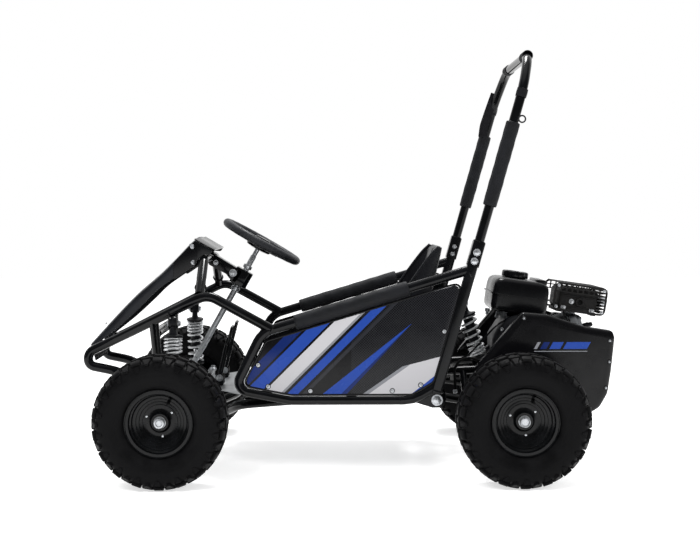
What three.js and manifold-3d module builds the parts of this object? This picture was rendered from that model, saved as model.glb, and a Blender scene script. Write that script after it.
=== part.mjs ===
// An off road go kart for a child: a welded tube frame with a roll bar, sprung front arms, and a rear swing
// arm that carries a small petrol engine, its chain drive and a live axle.
// Millimetres. +X points to the rear, +Y to the driver's right, +Z up. X counts from the front axle and Z
// from the ground, and the finished group is moved so that the middle of the overall length is at X = 0.

import * as THREE from 'three';
import { mergeVertices } from 'three/addons/utils/BufferGeometryUtils.js';
import Module from 'manifold-3d';

const wasm = await Module();
wasm.setup();

// Driving dimensions of the whole kart
const track = 750;
const tyreRadius = 165;
const tyreWidth = 127;
const railGap = 105;
const railHalf = track / 2 - railGap;
const tubeSize = 25;
const slack = 0.3;
const overrun = 4;

// Side hoop around the driver
const hoopFrontX = 243;
const hoopFrontZ = 372;
const hoopRearZ = 533;
const sillFrontX = 172;
const sillFrontZ = 227;
const sillBreakX = 315;
const sillZ = 199;
const sillEndZ = 236;
const hoopBend = 60;
const sillBend = 26;

// Uprights and roll bar
const uprightFootX = 686;
const sillRearLead = 58;
const uprightFootZ = 214;
const uprightLean = 15.7;
const sillRearX = uprightFootX - sillRearLead;
const uprightSize = 26;
const uprightTopZ = 590;
const sleeveSize = 31;
const sleeveLowZ = 541;
const sleeveHighZ = 603;
const rollSize = 25;
const rollBendZ = 1010;
const rollTopZ = 1092;
const rollTopIn = 65;
const rollTopHalf = railHalf - rollTopIn;
const rollBend = 75;

// Front rails, from the hoop over the apex to the nose and back under the floor
const apexX = 104;
const apexZ = 470;
const apexBend = 88;
const shoulderX = 55;
const shoulderZ = 446;
const noseHalf = 119;
const noseTopX = -170;
const noseTopZ = 333;
const tipX = -229;
const tipHighZ = 305;
const tipLowZ = 270;
const tipBend = 27;
const chinX = -150;
const chinZ = 254;
const throatX = -104;
const throatZ = 226;
const keelHalf = 68;
const keelX = -98;
const keelZ = 143;
const keelRearX = 98;
const keelBend = 30;
const flareX = 142;
const flareHalf = 145;
const flareZ = 152;
const skirtX = 182;
const skirtIn = 50;
const skirtHalf = railHalf - skirtIn;
const skirtZ = 181;

// Front suspension and steering
const armPivotHalf = 100;
const armSpread = 76;
const armBush = 22;
const armBushLength = 28;
const armTube = 18;
const kingpinIn = 60;
const kingpinHalf = track / 2 - kingpinIn;
const kingpinSize = 10;
const yokeHeight = 62;
const yokePlate = 6;
const yokeWidth = 30;
const yokeReach = 29;
const yokeWeb = 8;
const yokeNose = 9;
const knuckleBarrel = 24;
const spindleSize = 18;
const hubNut = 30;
const hubNutLength = 14;
const steerArm = 62;
const steerArmIn = 23;
const steerArmHalf = kingpinHalf - steerArmIn;
const steerArmZ = 193;
const rodSize = 12;
const columnX = 42;
const columnZ = 269;
const columnTilt = 29.5;
const columnSize = 16;
const columnLow = 74;
const pitmanArm = 34;
const pitmanHalf = 19;
const pitmanPlate = 6;
const pitmanWaist = 14;
const wheelRise = 377;
const wheelRing = 107;
const wheelGrip = 25;

// Shock absorbers
const frontEyeX = 14;
const frontEyeIn = 2.5;
const frontEyeHalf = railAt(frontEyeX).y - frontEyeIn;
const frontEyeZ = 393;
const frontFootOut = 22;
const frontFootHalf = frontEyeHalf + frontFootOut;
const frontFootZ = 203;
const rearEyeLag = 101;
const rearEyeX = uprightFootX + rearEyeLag;
const rearEyeZ = 426;
const rearFootZ = 252;
const eyeSize = 24;
const eyeWidth = 16;
const eyePin = 10;
const eyePlay = 1.5;
const springSize = 48;
const springWire = 6.5;
const springSeat = 5;
const shockBody = 28;
const shockRod = 12;
const frontCurls = 9;
const rearCurls = 8;

// Swing arm and live axle
const pivotLag = 4;
const pivotX = uprightFootX + pivotLag;
const pivotZ = 197;
const swingLength = 203;
const wheelbase = pivotX + swingLength;
const rearFootLead = 55;
const rearFootX = wheelbase - rearFootLead;
const pivotBolt = 14;
const pivotTube = 30;
const swingIn = 85;
const swingHalf = railHalf - swingIn;
const swingTube = 22;
const carrierHalf = 105;
const housingSize = 56;
const housingWidth = 20;
const axleSize = 20;
const tailCrossLag = 159;
const tailCrossX = wheelbase + tailCrossLag;

// Engine
const engineLag = 42;
const engineX = wheelbase + engineLag;
const engineZ = 257;
const engineTilt = 8;
const frameMiddle = 472.2;

const up = at(0, 0, 1);
const axleZ = tyreRadius;
const wheelY = track / 2;
const halfTube = tubeSize / 2;
const sides = [[-1, 'left'], [1, 'right']];
const ends = [['front', 0], ['rear', wheelbase]];

// Helpers that shape geometry

function at(x, y, z) {
  return new THREE.Vector3(x, y, z);
}

function flat(u, v) {
  return new THREE.Vector2(u, v);
}

function radians(degrees) {
  return THREE.MathUtils.degToRad(degrees);
}

// A path given by its stations and the heading at each of them.
class StationPath extends THREE.Curve {
  constructor(stations, headings) {
    super();
    this.stations = stations;
    this.headings = headings;
  }

  blend(list, share) {
    const place = share * (list.length - 1);
    const low = Math.min(Math.floor(place + 1e-9), list.length - 2);
    return list[low].clone().lerp(list[low + 1], place - low);
  }

  getPoint(share) {
    return this.blend(this.stations, share);
  }

  getPointAt(share) {
    return this.blend(this.stations, share);
  }

  getTangentAt(share) {
    return this.blend(this.headings, share).normalize();
  }
}

// Straight runs between corners, with inner corners rounded. The bend is one radius, or one at each corner.
function bentPath(corners, bend) {
  const arcStep = radians(34);
  const legShare = 0.48;
  const bends = Array.isArray(bend) ? bend : corners.map(() => bend);
  const last = corners.length - 1;
  const headings = corners.slice(1).map((corner, i) => corner.clone().sub(corners[i]).normalize());
  const stations = [corners[0]];
  const tangents = [headings[0]];
  for (let i = 1; i < last; i += 1) {
    const before = headings[i - 1];
    const after = headings[i];
    const turn = before.angleTo(after);
    const legs = [corners[i - 1], corners[i + 1]].map((other) => corners[i].distanceTo(other));
    const leg = legShare * Math.min(...legs);
    const reach = Math.min(bends[i] * Math.tan(turn / 2), leg);
    const radius = reach / Math.tan(turn / 2);
    const inward = after.clone().addScaledVector(before, -Math.cos(turn)).normalize();
    const start = corners[i].clone().addScaledVector(before, -reach);
    const pieces = Math.max(1, Math.round(turn / arcStep));
    for (let k = 0; k <= pieces; k += 1) {
      const angle = turn * k / pieces;
      const station = start.clone().addScaledVector(before, radius * Math.sin(angle));
      stations.push(station.addScaledVector(inward, radius * (1 - Math.cos(angle))));
      tangents.push(before.clone().multiplyScalar(Math.cos(angle)).addScaledVector(inward, Math.sin(angle)));
    }
  }
  stations.push(corners[last]);
  tangents.push(headings[last - 1]);
  return new StationPath(stations, tangents);
}

// A round section as a polygon that measures its size across the flats.
function roundSection(size, count) {
  const radius = size / 2 / Math.cos(Math.PI / count);
  const points = [];
  for (let i = 0; i < count; i += 1) {
    const angle = 2 * Math.PI * (i + 0.5) / count;
    points.push(flat(radius * Math.cos(angle), radius * Math.sin(angle)));
  }
  return new THREE.Shape(points);
}

function squareSection(size) {
  const half = size / 2;
  return new THREE.Shape([flat(-half, -half), flat(half, -half), flat(half, half), flat(-half, half)]);
}

function sweep(section, path) {
  const steps = path.stations.length - 1;
  return new THREE.ExtrudeGeometry(section, { extrudePath: path, steps, bevelEnabled: false });
}

function tube(corners, size, bend, count = 8) {
  return sweep(roundSection(size, count), bentPath(corners, bend));
}

function bar(from, to, size, count = 6) {
  return tube([from, to], size, 0, count);
}

// A bar square to the side frames
function barAcross(x, z, fromY, toY, size, count) {
  return bar(at(x, fromY, z), at(x, toY, z), size, count);
}

function barUpright(x, y, fromZ, toZ, size, count) {
  return bar(at(x, y, fromZ), at(x, y, toZ), size, count);
}

// A round pin as a polygon that measures its size across the corners, so that it turns freely in a bore.
function pin(from, to, size, count = 10) {
  return bar(from, to, size * Math.cos(Math.PI / count), count);
}

function pinAcross(x, z, fromY, toY, size, count) {
  return pin(at(x, fromY, z), at(x, toY, z), size, count);
}

function pinUpright(x, y, fromZ, toZ, size, count) {
  return pin(at(x, y, fromZ), at(x, y, toZ), size, count);
}

function block(low, high) {
  const size = high.clone().sub(low);
  const middle = low.clone().add(high).multiplyScalar(0.5);
  return new THREE.BoxGeometry(size.x, size.y, size.z).translate(middle.x, middle.y, middle.z);
}

// A plate whose outline is in X and Z, and which spans two Y values.
function plate(outline, lowY, highY) {
  const shape = new THREE.Shape(outline);
  const geometry = new THREE.ExtrudeGeometry(shape, { depth: highY - lowY, steps: 1, bevelEnabled: false });
  return geometry.rotateX(Math.PI / 2).translate(0, highY, 0);
}

// A plate whose outline is in X and Y, and which spans two Z values.
function sheet(outline, lowZ, highZ) {
  const shape = new THREE.Shape(outline);
  const geometry = new THREE.ExtrudeGeometry(shape, { depth: highZ - lowZ, steps: 1, bevelEnabled: false });
  return geometry.translate(0, 0, lowZ);
}

// A revolved piece about the Y axis. The profile is in radius and Y.
function turned(profile, count) {
  return new THREE.LatheGeometry(profile, count);
}

// The corners of an outline rounded to a radius.
function rounded(outline, radius, pieces = 2) {
  const legShare = 0.45;
  const points = [];
  outline.forEach((corner, i) => {
    const before = outline[(i + outline.length - 1) % outline.length].clone().sub(corner);
    const after = outline[(i + 1) % outline.length].clone().sub(corner);
    const half = Math.abs(before.angleTo(after)) / 2;
    const reach = Math.min(radius / Math.tan(half), before.length() * legShare, after.length() * legShare);
    const from = corner.clone().addScaledVector(before.clone().normalize(), reach);
    const to = corner.clone().addScaledVector(after.clone().normalize(), reach);
    for (let k = 0; k <= pieces; k += 1) {
      const share = k / pieces;
      const first = from.clone().lerp(corner, share);
      points.push(first.lerp(corner.clone().lerp(to, share), share));
    }
  });
  return points;
}

// The outline moved inwards by a distance. The outline runs counterclockwise.
function inset(outline, distance) {
  return outline.map((corner, i) => {
    const before = corner.clone().sub(outline[(i + outline.length - 1) % outline.length]).normalize();
    const after = outline[(i + 1) % outline.length].clone().sub(corner).normalize();
    const inward = flat(-before.y - after.y, before.x + after.x);
    const grow = distance * 2 / inward.lengthSq();
    return corner.clone().addScaledVector(inward, grow);
  });
}

// Outlines with equal counts of points, joined in order and closed at both ends. They run counterclockwise.
function loft(sections, place) {
  const count = sections[0].length;
  const positions = sections.flatMap((section, i) => section.flatMap((point) => place(i, point).toArray()));
  const index = [];
  for (let i = 0; i < sections.length - 1; i += 1) {
    for (let k = 0; k < count; k += 1) {
      const a = i * count + k;
      const b = i * count + (k + 1) % count;
      index.push(a, b, b + count, a, b + count, a + count);
    }
  }
  const top = (sections.length - 1) * count;
  const facesOf = (section) => THREE.ShapeUtils.triangulateShape(section, []);
  facesOf(sections[0]).forEach(([a, b, c]) => index.push(c, b, a));
  facesOf(sections.at(-1)).forEach(([a, b, c]) => index.push(top + a, top + b, top + c));
  const geometry = new THREE.BufferGeometry();
  geometry.setAttribute('position', new THREE.Float32BufferAttribute(positions, 3));
  geometry.setIndex(index);
  return geometry;
}

// A bowed shell seen from its end: skirts on both sides, joined by a top with round shoulders and a crown.
function channel(half, depth, corner, crown, wall) {
  const shoulderShares = [[1, 1], [0.71, 0.29], [0.29, 0.04]];
  const row = (inner) => {
    const side = half - inner;
    const right = [flat(side, -depth)];
    shoulderShares.forEach(([out, drop]) => {
      right.push(flat(half - corner + (corner - inner) * out, -inner - (corner - inner) * drop));
    });
    const left = right.map((point) => flat(-point.x, point.y)).reverse();
    return [...right, flat(0, crown - inner), ...left];
  };
  return [...row(0), ...row(wall).reverse()];
}

// Helpers that join and cut solids

function solid(geometry) {
  const bare = geometry.clone();
  bare.deleteAttribute('normal');
  bare.deleteAttribute('uv');
  const merged = mergeVertices(bare, 1e-3);
  const corners = merged.getIndex().array;
  const triangles = [];
  for (let i = 0; i < corners.length; i += 3) {
    const [a, b, c] = corners.slice(i, i + 3);
    if (a !== b && b !== c && c !== a) triangles.push(a, b, c);
  }
  const vertProperties = new Float32Array(merged.getAttribute('position').array);
  if (signedVolume(merged.getAttribute('position'), triangles) < 0) triangles.reverse();
  const mesh = new wasm.Mesh({ numProp: 3, vertProperties, triVerts: new Uint32Array(triangles) });
  return new wasm.Manifold(mesh);
}

// Six times the volume, negative where the faces point inwards
function signedVolume(position, triangles) {
  const corner = (k) => new THREE.Vector3().fromBufferAttribute(position, k);
  let volume = 0;
  for (let i = 0; i < triangles.length; i += 3) {
    const [a, b, c] = triangles.slice(i, i + 3).map(corner);
    volume += a.dot(b.cross(c));
  }
  return volume;
}

function shaped(manifold) {
  const mesh = manifold.getMesh();
  const geometry = new THREE.BufferGeometry();
  geometry.setAttribute('position', new THREE.BufferAttribute(new Float32Array(mesh.vertProperties), 3));
  geometry.setIndex(Array.from(mesh.triVerts));
  geometry.computeVertexNormals();
  return geometry;
}

function join(...geometries) {
  return shaped(geometries.map(solid).reduce((whole, piece) => whole.add(piece)));
}

// A cut can leave crumbs where two tubes meet at a slant. They are dropped.
function cut(geometry, ...tools) {
  const crumbShare = 1e-4;
  const left = tools.map(solid).reduce((whole, tool) => whole.subtract(tool), solid(geometry));
  const volume = left.volume();
  const pieces = left.decompose().filter((piece) => piece.volume() > volume * crumbShare);
  return shaped(pieces.reduce((whole, piece) => whole.add(piece)));
}

function finish(color, roughness, metalness) {
  return new THREE.MeshStandardMaterial({ color, roughness, metalness });
}

const framePaint = finish('#15161a', 0.3, 0.3);
const rubber = finish('#17181a', 0.85, 0);
const foam = finish('#1b1c20', 0.9, 0);
const rimPaint = finish('#121316', 0.35, 0.4);
const steel = finish('#b9bcc0', 0.3, 0.9);
const castMetal = finish('#8d9095', 0.45, 0.8);
const blackPlastic = finish('#101114', 0.3, 0.05);
const seatPlastic = finish('#1d1f23', 0.55, 0);
const sheetMetal = finish('#c3c6c9', 0.4, 0.7);
const springMetal = finish('#d3d5d8', 0.25, 0.9);
const darkMetal = finish('#2a2c30', 0.5, 0.6);
const panelBlue = finish('#2b4fa8', 0.4, 0);
const cowlPlastic = finish('#2c2e33', 0.6, 0);

const kart = new THREE.Group();

function add(name, geometry, material, parent = kart) {
  const mesh = new THREE.Mesh(geometry, material);
  mesh.name = name;
  parent.add(mesh);
  return mesh;
}

function group(x, y, z, turnX, turnY, parent = kart) {
  const made = new THREE.Group();
  made.position.set(x, y, z);
  made.rotation.set(turnX, turnY, 0);
  parent.add(made);
  return made;
}

// Places on the leaning upright
function uprightX(z) {
  return uprightFootX + (z - uprightFootZ) * Math.tan(radians(uprightLean));
}

const hoopRear = flat(uprightX(hoopRearZ), hoopRearZ);
const hoopFront = flat(hoopFrontX, hoopFrontZ);

// Places on the top tube of the hoop, by X
function hoopTopZ(x) {
  const share = (x - hoopFront.x) / (hoopRear.x - hoopFront.x);
  return hoopFront.y + share * (hoopRear.y - hoopFront.y);
}

// Places on the front rail between the shoulder and the nose, by X
function railAt(x) {
  const share = (shoulderX - x) / (shoulderX - noseTopX);
  return at(x, railHalf + share * (noseHalf - railHalf), shoulderZ + share * (noseTopZ - shoulderZ));
}

// Side panels lie inside the hoop on tabs
const panelWall = 3.5;
const panelOut = 6;
const panelMargin = 17;
const panelDrop = 9;
const tabWall = 3;
const tabWidth = 26;
const panelOutline = inset(
  [
    flat(sillFrontX, sillFrontZ),
    flat(sillBreakX, sillZ),
    flat(sillRearX, sillZ),
    flat(uprightX(sillEndZ), sillEndZ),
    flat(hoopRear.x, hoopRear.y - panelDrop),
    flat(hoopFront.x, hoopFront.y - panelDrop),
  ],
  panelMargin,
);

function sidePanel(side) {
  const low = railHalf + panelOut;
  const [lowY, highY] = side < 0 ? [-low - panelWall, -low] : [low, low + panelWall];
  return plate(rounded(panelOutline, panelMargin), lowY, highY);
}

// Tabs of the side hoop that the panel is screwed to, at the middle of every edge but the padded one
function panelTabs(side) {
  const high = railHalf + panelOut - slack;
  const [lowY, highY] = side < 0 ? [-high, -high + tabWall] : [high - tabWall, high];
  return panelOutline.slice(0, -2).concat(panelOutline.slice(-1)).map((corner) => {
    const i = panelOutline.indexOf(corner);
    const next = panelOutline[(i + 1) % panelOutline.length];
    const along = next.clone().sub(corner).normalize();
    const outwards = flat(along.y, -along.x);
    const middle = corner.clone().lerp(next, 0.5);
    const points = [
      middle.clone().addScaledVector(along, -tabWidth / 2).addScaledVector(outwards, panelMargin),
      middle.clone().addScaledVector(along, tabWidth / 2).addScaledVector(outwards, panelMargin),
      middle.clone().addScaledVector(along, tabWidth / 2).addScaledVector(outwards, -panelMargin / 2),
      middle.clone().addScaledVector(along, -tabWidth / 2).addScaledVector(outwards, -panelMargin / 2),
    ];
    return plate(points, lowY, highY);
  });
}

// Gusset plate that carries the swing arm's pivot bolt
const gussetWall = 6;
const gussetReach = 24;
const gussetDrop = 20;
const gussetIn = railHalf - halfTube;

function pivotGusset(side) {
  const outline = [
    flat(sillRearX - gussetDrop, sillZ),
    flat(pivotX - gussetReach / 2, pivotZ - gussetDrop),
    flat(pivotX + gussetReach / 2, pivotZ - gussetDrop),
    flat(pivotX + gussetReach, pivotZ),
    flat(uprightX(sillEndZ) + uprightSize / 2, sillEndZ + gussetDrop),
    flat(uprightX(sillEndZ) - uprightSize, sillEndZ + gussetDrop / 2),
  ];
  const lowY = side < 0 ? -gussetIn - overrun : gussetIn - gussetWall;
  return plate(outline, lowY, lowY + gussetWall + overrun);
}

// Ears that hang from the front rail and hold the top eye of the front shock
const earWall = 4;
const earWidth = 26;
const armEarWall = 4;
const armEarLap = 7.5;
const armEarBite = 6;

function shockEars(side) {
  const rail = railAt(frontEyeX);
  return [-1, 1].map((face) => {
    const near = frontEyeX + face * (eyeWidth / 2 + slack);
    const far = near + face * earWall;
    const low = at(Math.min(near, far), side * frontEyeHalf - earWidth / 2, frontEyeZ - eyeSize / 2);
    return block(low, at(Math.max(near, far), side * frontEyeHalf + earWidth / 2, rail.z));
  });
}

// Ears of the keel that hold the pivot pins of the front arm
function armEars(side) {
  const half = armBushLength / 2 + slack + armEarWall;
  return [-1, 1].flatMap((end) => {
    const middle = end * armSpread;
    const pivot = pin(
      at(middle - half, side * armPivotHalf, axleZ),
      at(middle + half, side * armPivotHalf, axleZ),
      eyePin,
    );
    const ears = [-1, 1].map((face) => {
      const near = middle + face * (half - armEarWall);
      const far = middle + face * half;
      const inner = side * (keelHalf + armEarBite);
      const outer = side * (armPivotHalf + armEarLap);
      return block(
        at(Math.min(near, far), Math.min(inner, outer), keelZ - armEarWall),
        at(Math.max(near, far), Math.max(inner, outer), axleZ + armBush / 2),
      );
    });
    return [pivot, ...ears];
  });
}

function eyePinBar(x, y, z, alongX, length) {
  const half = alongX ? at(length / 2, 0, 0) : at(0, length / 2, 0);
  return pin(at(x, y, z).sub(half), at(x, y, z).add(half), eyePin);
}

function hoopTube(side, size) {
  const y = side * railHalf;
  const corners = [
    at(hoopRear.x, y, hoopRear.y),
    at(hoopFront.x, y, hoopFront.y),
    at(sillFrontX, y, sillFrontZ),
    at(sillBreakX, y, sillZ),
    at(sillRearX, y, sillZ),
    at(uprightX(sillEndZ), y, sillEndZ),
  ];
  return tube(corners, size, [0, hoopBend, sillBend, apexBend, apexBend, 0]);
}

function railTube(side, size) {
  const y = side * railHalf;
  const corners = [
    at(hoopFront.x + tubeSize, y, hoopTopZ(hoopFront.x + tubeSize)),
    at(apexX, y, apexZ),
    at(shoulderX, y, shoulderZ),
    at(noseTopX, side * noseHalf, noseTopZ),
    at(tipX, side * noseHalf, tipHighZ),
    at(tipX, side * noseHalf, tipLowZ),
    at(chinX, side * noseHalf, chinZ),
    at(throatX, side * (noseHalf + keelHalf) / 2, throatZ),
    at(keelX, side * keelHalf, keelZ),
    at(keelRearX, side * keelHalf, keelZ),
    at(flareX, side * flareHalf, flareZ),
    at(skirtX, side * skirtHalf, skirtZ),
    at(sillBreakX, y, sillZ),
  ];
  const noseBends = [tipBend, tipBend, apexBend, apexBend, keelBend, keelBend];
  return tube(corners, size, [0, apexBend, apexBend, apexBend, ...noseBends, apexBend, apexBend, 0]);
}

function uprightTube(side, size, lowZ, highZ) {
  const y = side * railHalf;
  const ends = [lowZ, highZ].map((z) => at(uprightX(z), y, z));
  return sweep(squareSection(size), bentPath(ends, 0));
}

// Everything that a cross member is coped against, grown by the gap between touching pieces
function copeTools() {
  const size = tubeSize + 2 * slack;
  return sides.flatMap(([side]) => [
    hoopTube(side, size),
    railTube(side, size),
    uprightTube(side, uprightSize + 2 * slack, pivotZ, uprightTopZ),
  ]);
}

function sideFrame(side) {
  const upright = uprightTube(side, uprightSize, pivotZ + gussetDrop, uprightTopZ);
  const topPin = eyePinBar(frontEyeX, side * frontEyeHalf, frontEyeZ, true, eyeWidth + 2 * earWall);
  const whole = join(
    hoopTube(side, tubeSize),
    railTube(side, tubeSize),
    upright,
    pivotGusset(side),
    ...panelTabs(side),
    ...shockEars(side),
    ...armEars(side),
    noseTab(side),
    topPin,
  );
  const y = side * railHalf;
  const boltHole = pivotBolt + 2 * slack;
  return cut(whole, bar(at(pivotX, y - tubeSize, pivotZ), at(pivotX, y + tubeSize, pivotZ), boltHole));
}

// Front tower between the rails. It carries the lower bearing of the steering column.
const towerX = -41;
const towerLowZ = 217;
const bearingWall = 8;
const bearingLength = 18;
const lowBearingDrop = 34;
const bearingStay = 11;
const stayShare = 0.75;

function columnPoint(rise) {
  const tilt = radians(columnTilt);
  return at(columnX + rise * Math.sin(tilt), 0, columnZ + rise * Math.cos(tilt));
}

function bearing(middle, bore) {
  const half = bearingLength / 2;
  return {
    ring: bar(columnPoint(middle - half), columnPoint(middle + half), columnSize + 2 * bearingWall, 8),
    bore: bar(columnPoint(middle - bearingLength), columnPoint(middle + bearingLength), bore, 8),
  };
}

function frontTower() {
  const rail = railAt(towerX);
  const lean = (rail.y - keelHalf) / (rail.z - keelZ);
  const halfAt = (z) => keelHalf + lean * (z - keelZ);
  const topZ = rail.z - tubeSize - halfTube;
  const pieces = [
    bar(at(towerX, -halfAt(topZ), topZ), at(towerX, halfAt(topZ), topZ), tubeSize),
    bar(at(towerX, -halfAt(towerLowZ), towerLowZ), at(towerX, halfAt(towerLowZ), towerLowZ), tubeSize),
  ];
  for (const [side] of sides) {
    pieces.push(bar(at(towerX, side * keelHalf, keelZ), at(towerX, side * rail.y, rail.z), tubeSize));
  }
  const low = bearing(-lowBearingDrop, columnSize + 2 * slack);
  pieces.push(bar(at(towerX, 0, towerLowZ), columnPoint(-lowBearingDrop * stayShare), bearingStay));
  pieces.push(low.ring);
  return cut(join(...pieces), ...copeTools(), low.bore);
}

// Floor ladder between the sills, with the two rails that the seat stands on
const floorTube = 20;
const floorFrontX = 205;
const floorMidX = 420;
const floorRearLead = 94;
const floorRearX = uprightFootX - floorRearLead;
const seatRailHalf = 112;
const floorWall = 2;
const floorNoseX = 84;
const floorTailLead = 46;
const floorTailX = uprightFootX - floorTailLead;
const floorIn = 27;
const floorHalf = railHalf - floorIn;
const floorLip = 18;
const floorZ = sillZ + floorTube / 2 + slack;

function floorFrame() {
  const pieces = [floorMidX, floorRearX].map((x) => (
    bar(at(x, -railHalf, sillZ), at(x, railHalf, sillZ), floorTube)
  ));
  pieces.push(bar(at(floorFrontX, -skirtHalf, sillZ), at(floorFrontX, skirtHalf, sillZ), floorTube));
  for (const [side] of sides) {
    const y = side * seatRailHalf;
    pieces.push(bar(at(floorFrontX, y, sillZ), at(floorRearX, y, sillZ), floorTube));
  }
  return cut(join(...pieces), ...copeTools());
}

// Rear frame between the uprights, with the top mount of the rear shock
const rearCrossZ = 440;
const rearStayHalf = 90;
const rearLowLead = 36;
const rearLowX = uprightFootX - rearLowLead;
const shockEarReach = 14;
const shockEarHalf = 10;

function rearFrame() {
  const top = (y) => at(uprightX(rearCrossZ), y, rearCrossZ);
  const low = (y) => at(rearLowX, y, sillZ + floorTube + halfTube);
  const pieces = [
    bar(top(-railHalf), top(railHalf), tubeSize),
    bar(low(-seatRailHalf), low(seatRailHalf), tubeSize),
  ];
  for (const [side] of sides) pieces.push(bar(low(side * rearStayHalf), top(side * rearStayHalf), floorTube));
  for (const face of [-1, 1]) {
    const near = face * (eyeWidth / 2 + slack);
    const far = near + face * earWall;
    const outline = [
      flat(uprightX(rearCrossZ), rearCrossZ - shockEarHalf),
      flat(rearEyeX, rearEyeZ - eyeSize / 2),
      flat(rearEyeX + shockEarReach, rearEyeZ),
      flat(rearEyeX, rearEyeZ + eyeSize / 2),
      flat(uprightX(rearCrossZ), rearCrossZ + shockEarHalf),
    ];
    pieces.push(plate(outline, Math.min(near, far), Math.max(near, far)));
  }
  pieces.push(eyePinBar(rearEyeX, 0, rearEyeZ, false, eyeWidth + 2 * earWall));
  return cut(join(...pieces), ...copeTools());
}

// Floor pan with a lip at its front edge and the brackets of both pedals
const pedalX = 118;
const pedalZ = 232;
const pedalY = 78;
const pedalPin = 10;
const pedalBush = 16;
const pedalBushLength = 26;
const pedalEar = 4;
const pedalEarSize = 22;

function floorPan() {
  const outline = [
    flat(floorNoseX, -skirtHalf / 2),
    flat(skirtX, -floorHalf),
    flat(floorTailX, -floorHalf),
    flat(floorTailX, floorHalf),
    flat(skirtX, floorHalf),
    flat(floorNoseX, skirtHalf / 2),
  ];
  const pieces = [sheet(outline, floorZ, floorZ + floorWall)];
  pieces.push(block(
    at(floorNoseX, -skirtHalf / 2, floorZ),
    at(floorNoseX + floorWall, skirtHalf / 2, floorZ + floorLip),
  ));
  for (const [side] of sides) {
    const pinHalf = pedalBushLength / 2 + slack + pedalEar;
    pieces.push(pinAcross(pedalX, pedalZ, side * pedalY - pinHalf, side * pedalY + pinHalf, pedalPin));
    for (const face of [-1, 1]) {
      const near = side * pedalY + face * (pedalBushLength / 2 + slack);
      const far = near + face * pedalEar;
      pieces.push(block(
        at(pedalX - pedalEarSize / 2, Math.min(near, far), floorZ),
        at(pedalX + pedalEarSize / 2, Math.max(near, far), pedalZ + pedalEarSize / 2),
      ));
    }
  }
  return join(...pieces);
}

// A pedal: a bush on its pin, an arm that leans back, and a foot pad across its top
const pedalRise = 118;
const pedalLean = 14;
const pedalArm = 14;
const padWidth = 74;
const padHeight = 52;
const padWall = 6;

function pedal(side) {
  const y = side * pedalY;
  const lean = radians(pedalLean);
  const along = at(Math.sin(lean), 0, Math.cos(lean));
  const foot = at(pedalX, y, pedalZ);
  const head = foot.clone().addScaledVector(along, pedalRise);
  const half = pedalBushLength / 2;
  const bush = barAcross(pedalX, pedalZ, y - half, y + half, pedalBush);
  const pad = new THREE.BoxGeometry(padWall, padWidth, padHeight).rotateY(lean);
  pad.translate(head.x, head.y, head.z);
  const hole = barAcross(pedalX, pedalZ, y - 2 * half, y + 2 * half, pedalPin + 2 * slack);
  return cut(join(bush, bar(foot, head, pedalArm), pad), hole);
}

// Roll bar: sleeves over the uprights, then one bent tube over the driver's head
function rollBar() {
  const tubeAt = (z, half) => (side) => at(uprightX(z), side * half, z);
  const low = tubeAt(uprightTopZ + slack, railHalf);
  const shoulder = tubeAt(rollBendZ, railHalf);
  const crown = tubeAt(rollTopZ - rollSize / 2, rollTopHalf);
  const hoop = tube(
    [low(-1), shoulder(-1), crown(-1), crown(1), shoulder(1), low(1)],
    rollSize,
    rollBend,
  );
  const sleeves = sides.map(([side]) => uprightTube(side, sleeveSize, sleeveLowZ, sleeveHighZ));
  const bore = uprightSize + 2 * slack;
  const bores = sides.map(([side]) => uprightTube(side, bore, sleeveLowZ - overrun, uprightTopZ + slack));
  return cut(join(hoop, ...sleeves), ...bores);
}

// Foam sleeves on the top tubes and on the roll bar
const railPadSize = 40;
const railPadFrontX = 327;
const railPadRearLead = 70;
const railPadRearX = uprightFootX - railPadRearLead;
const rollPadSize = 37;
const rollPadLowZ = 694;
const rollPadHighZ = 906;

function foamSleeve(from, to, size, bore) {
  const section = roundSection(size, 12);
  section.holes.push(new THREE.Path(roundSection(bore, 8).getPoints()));
  return sweep(section, bentPath([from, to], 0));
}

function railPad(side) {
  const y = side * railHalf;
  const place = (x) => at(x, y, hoopTopZ(x));
  return foamSleeve(place(railPadFrontX), place(railPadRearX), railPadSize, tubeSize + 2 * slack);
}

function rollPad(side) {
  const place = (z) => at(uprightX(z), side * railHalf, z);
  return foamSleeve(place(rollPadLowZ), place(rollPadHighZ), rollPadSize, rollSize + 2 * slack);
}

// Dash: a hoop that stands on both rails, a channel back from it and the upper bearing of the column
const dashX = 84;
const dashTopZ = 552;
const dashHalf = 158;
const dashBend = 42;
const dashFootIn = 8;
const dashFootHalf = railHalf - dashFootIn;
const channelHeight = 34;
const channelWidth = 46;
const bearingRise = 263;
const housingLength = 46;
const housingDepth = 50;
const dashEarReach = 40;

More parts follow.
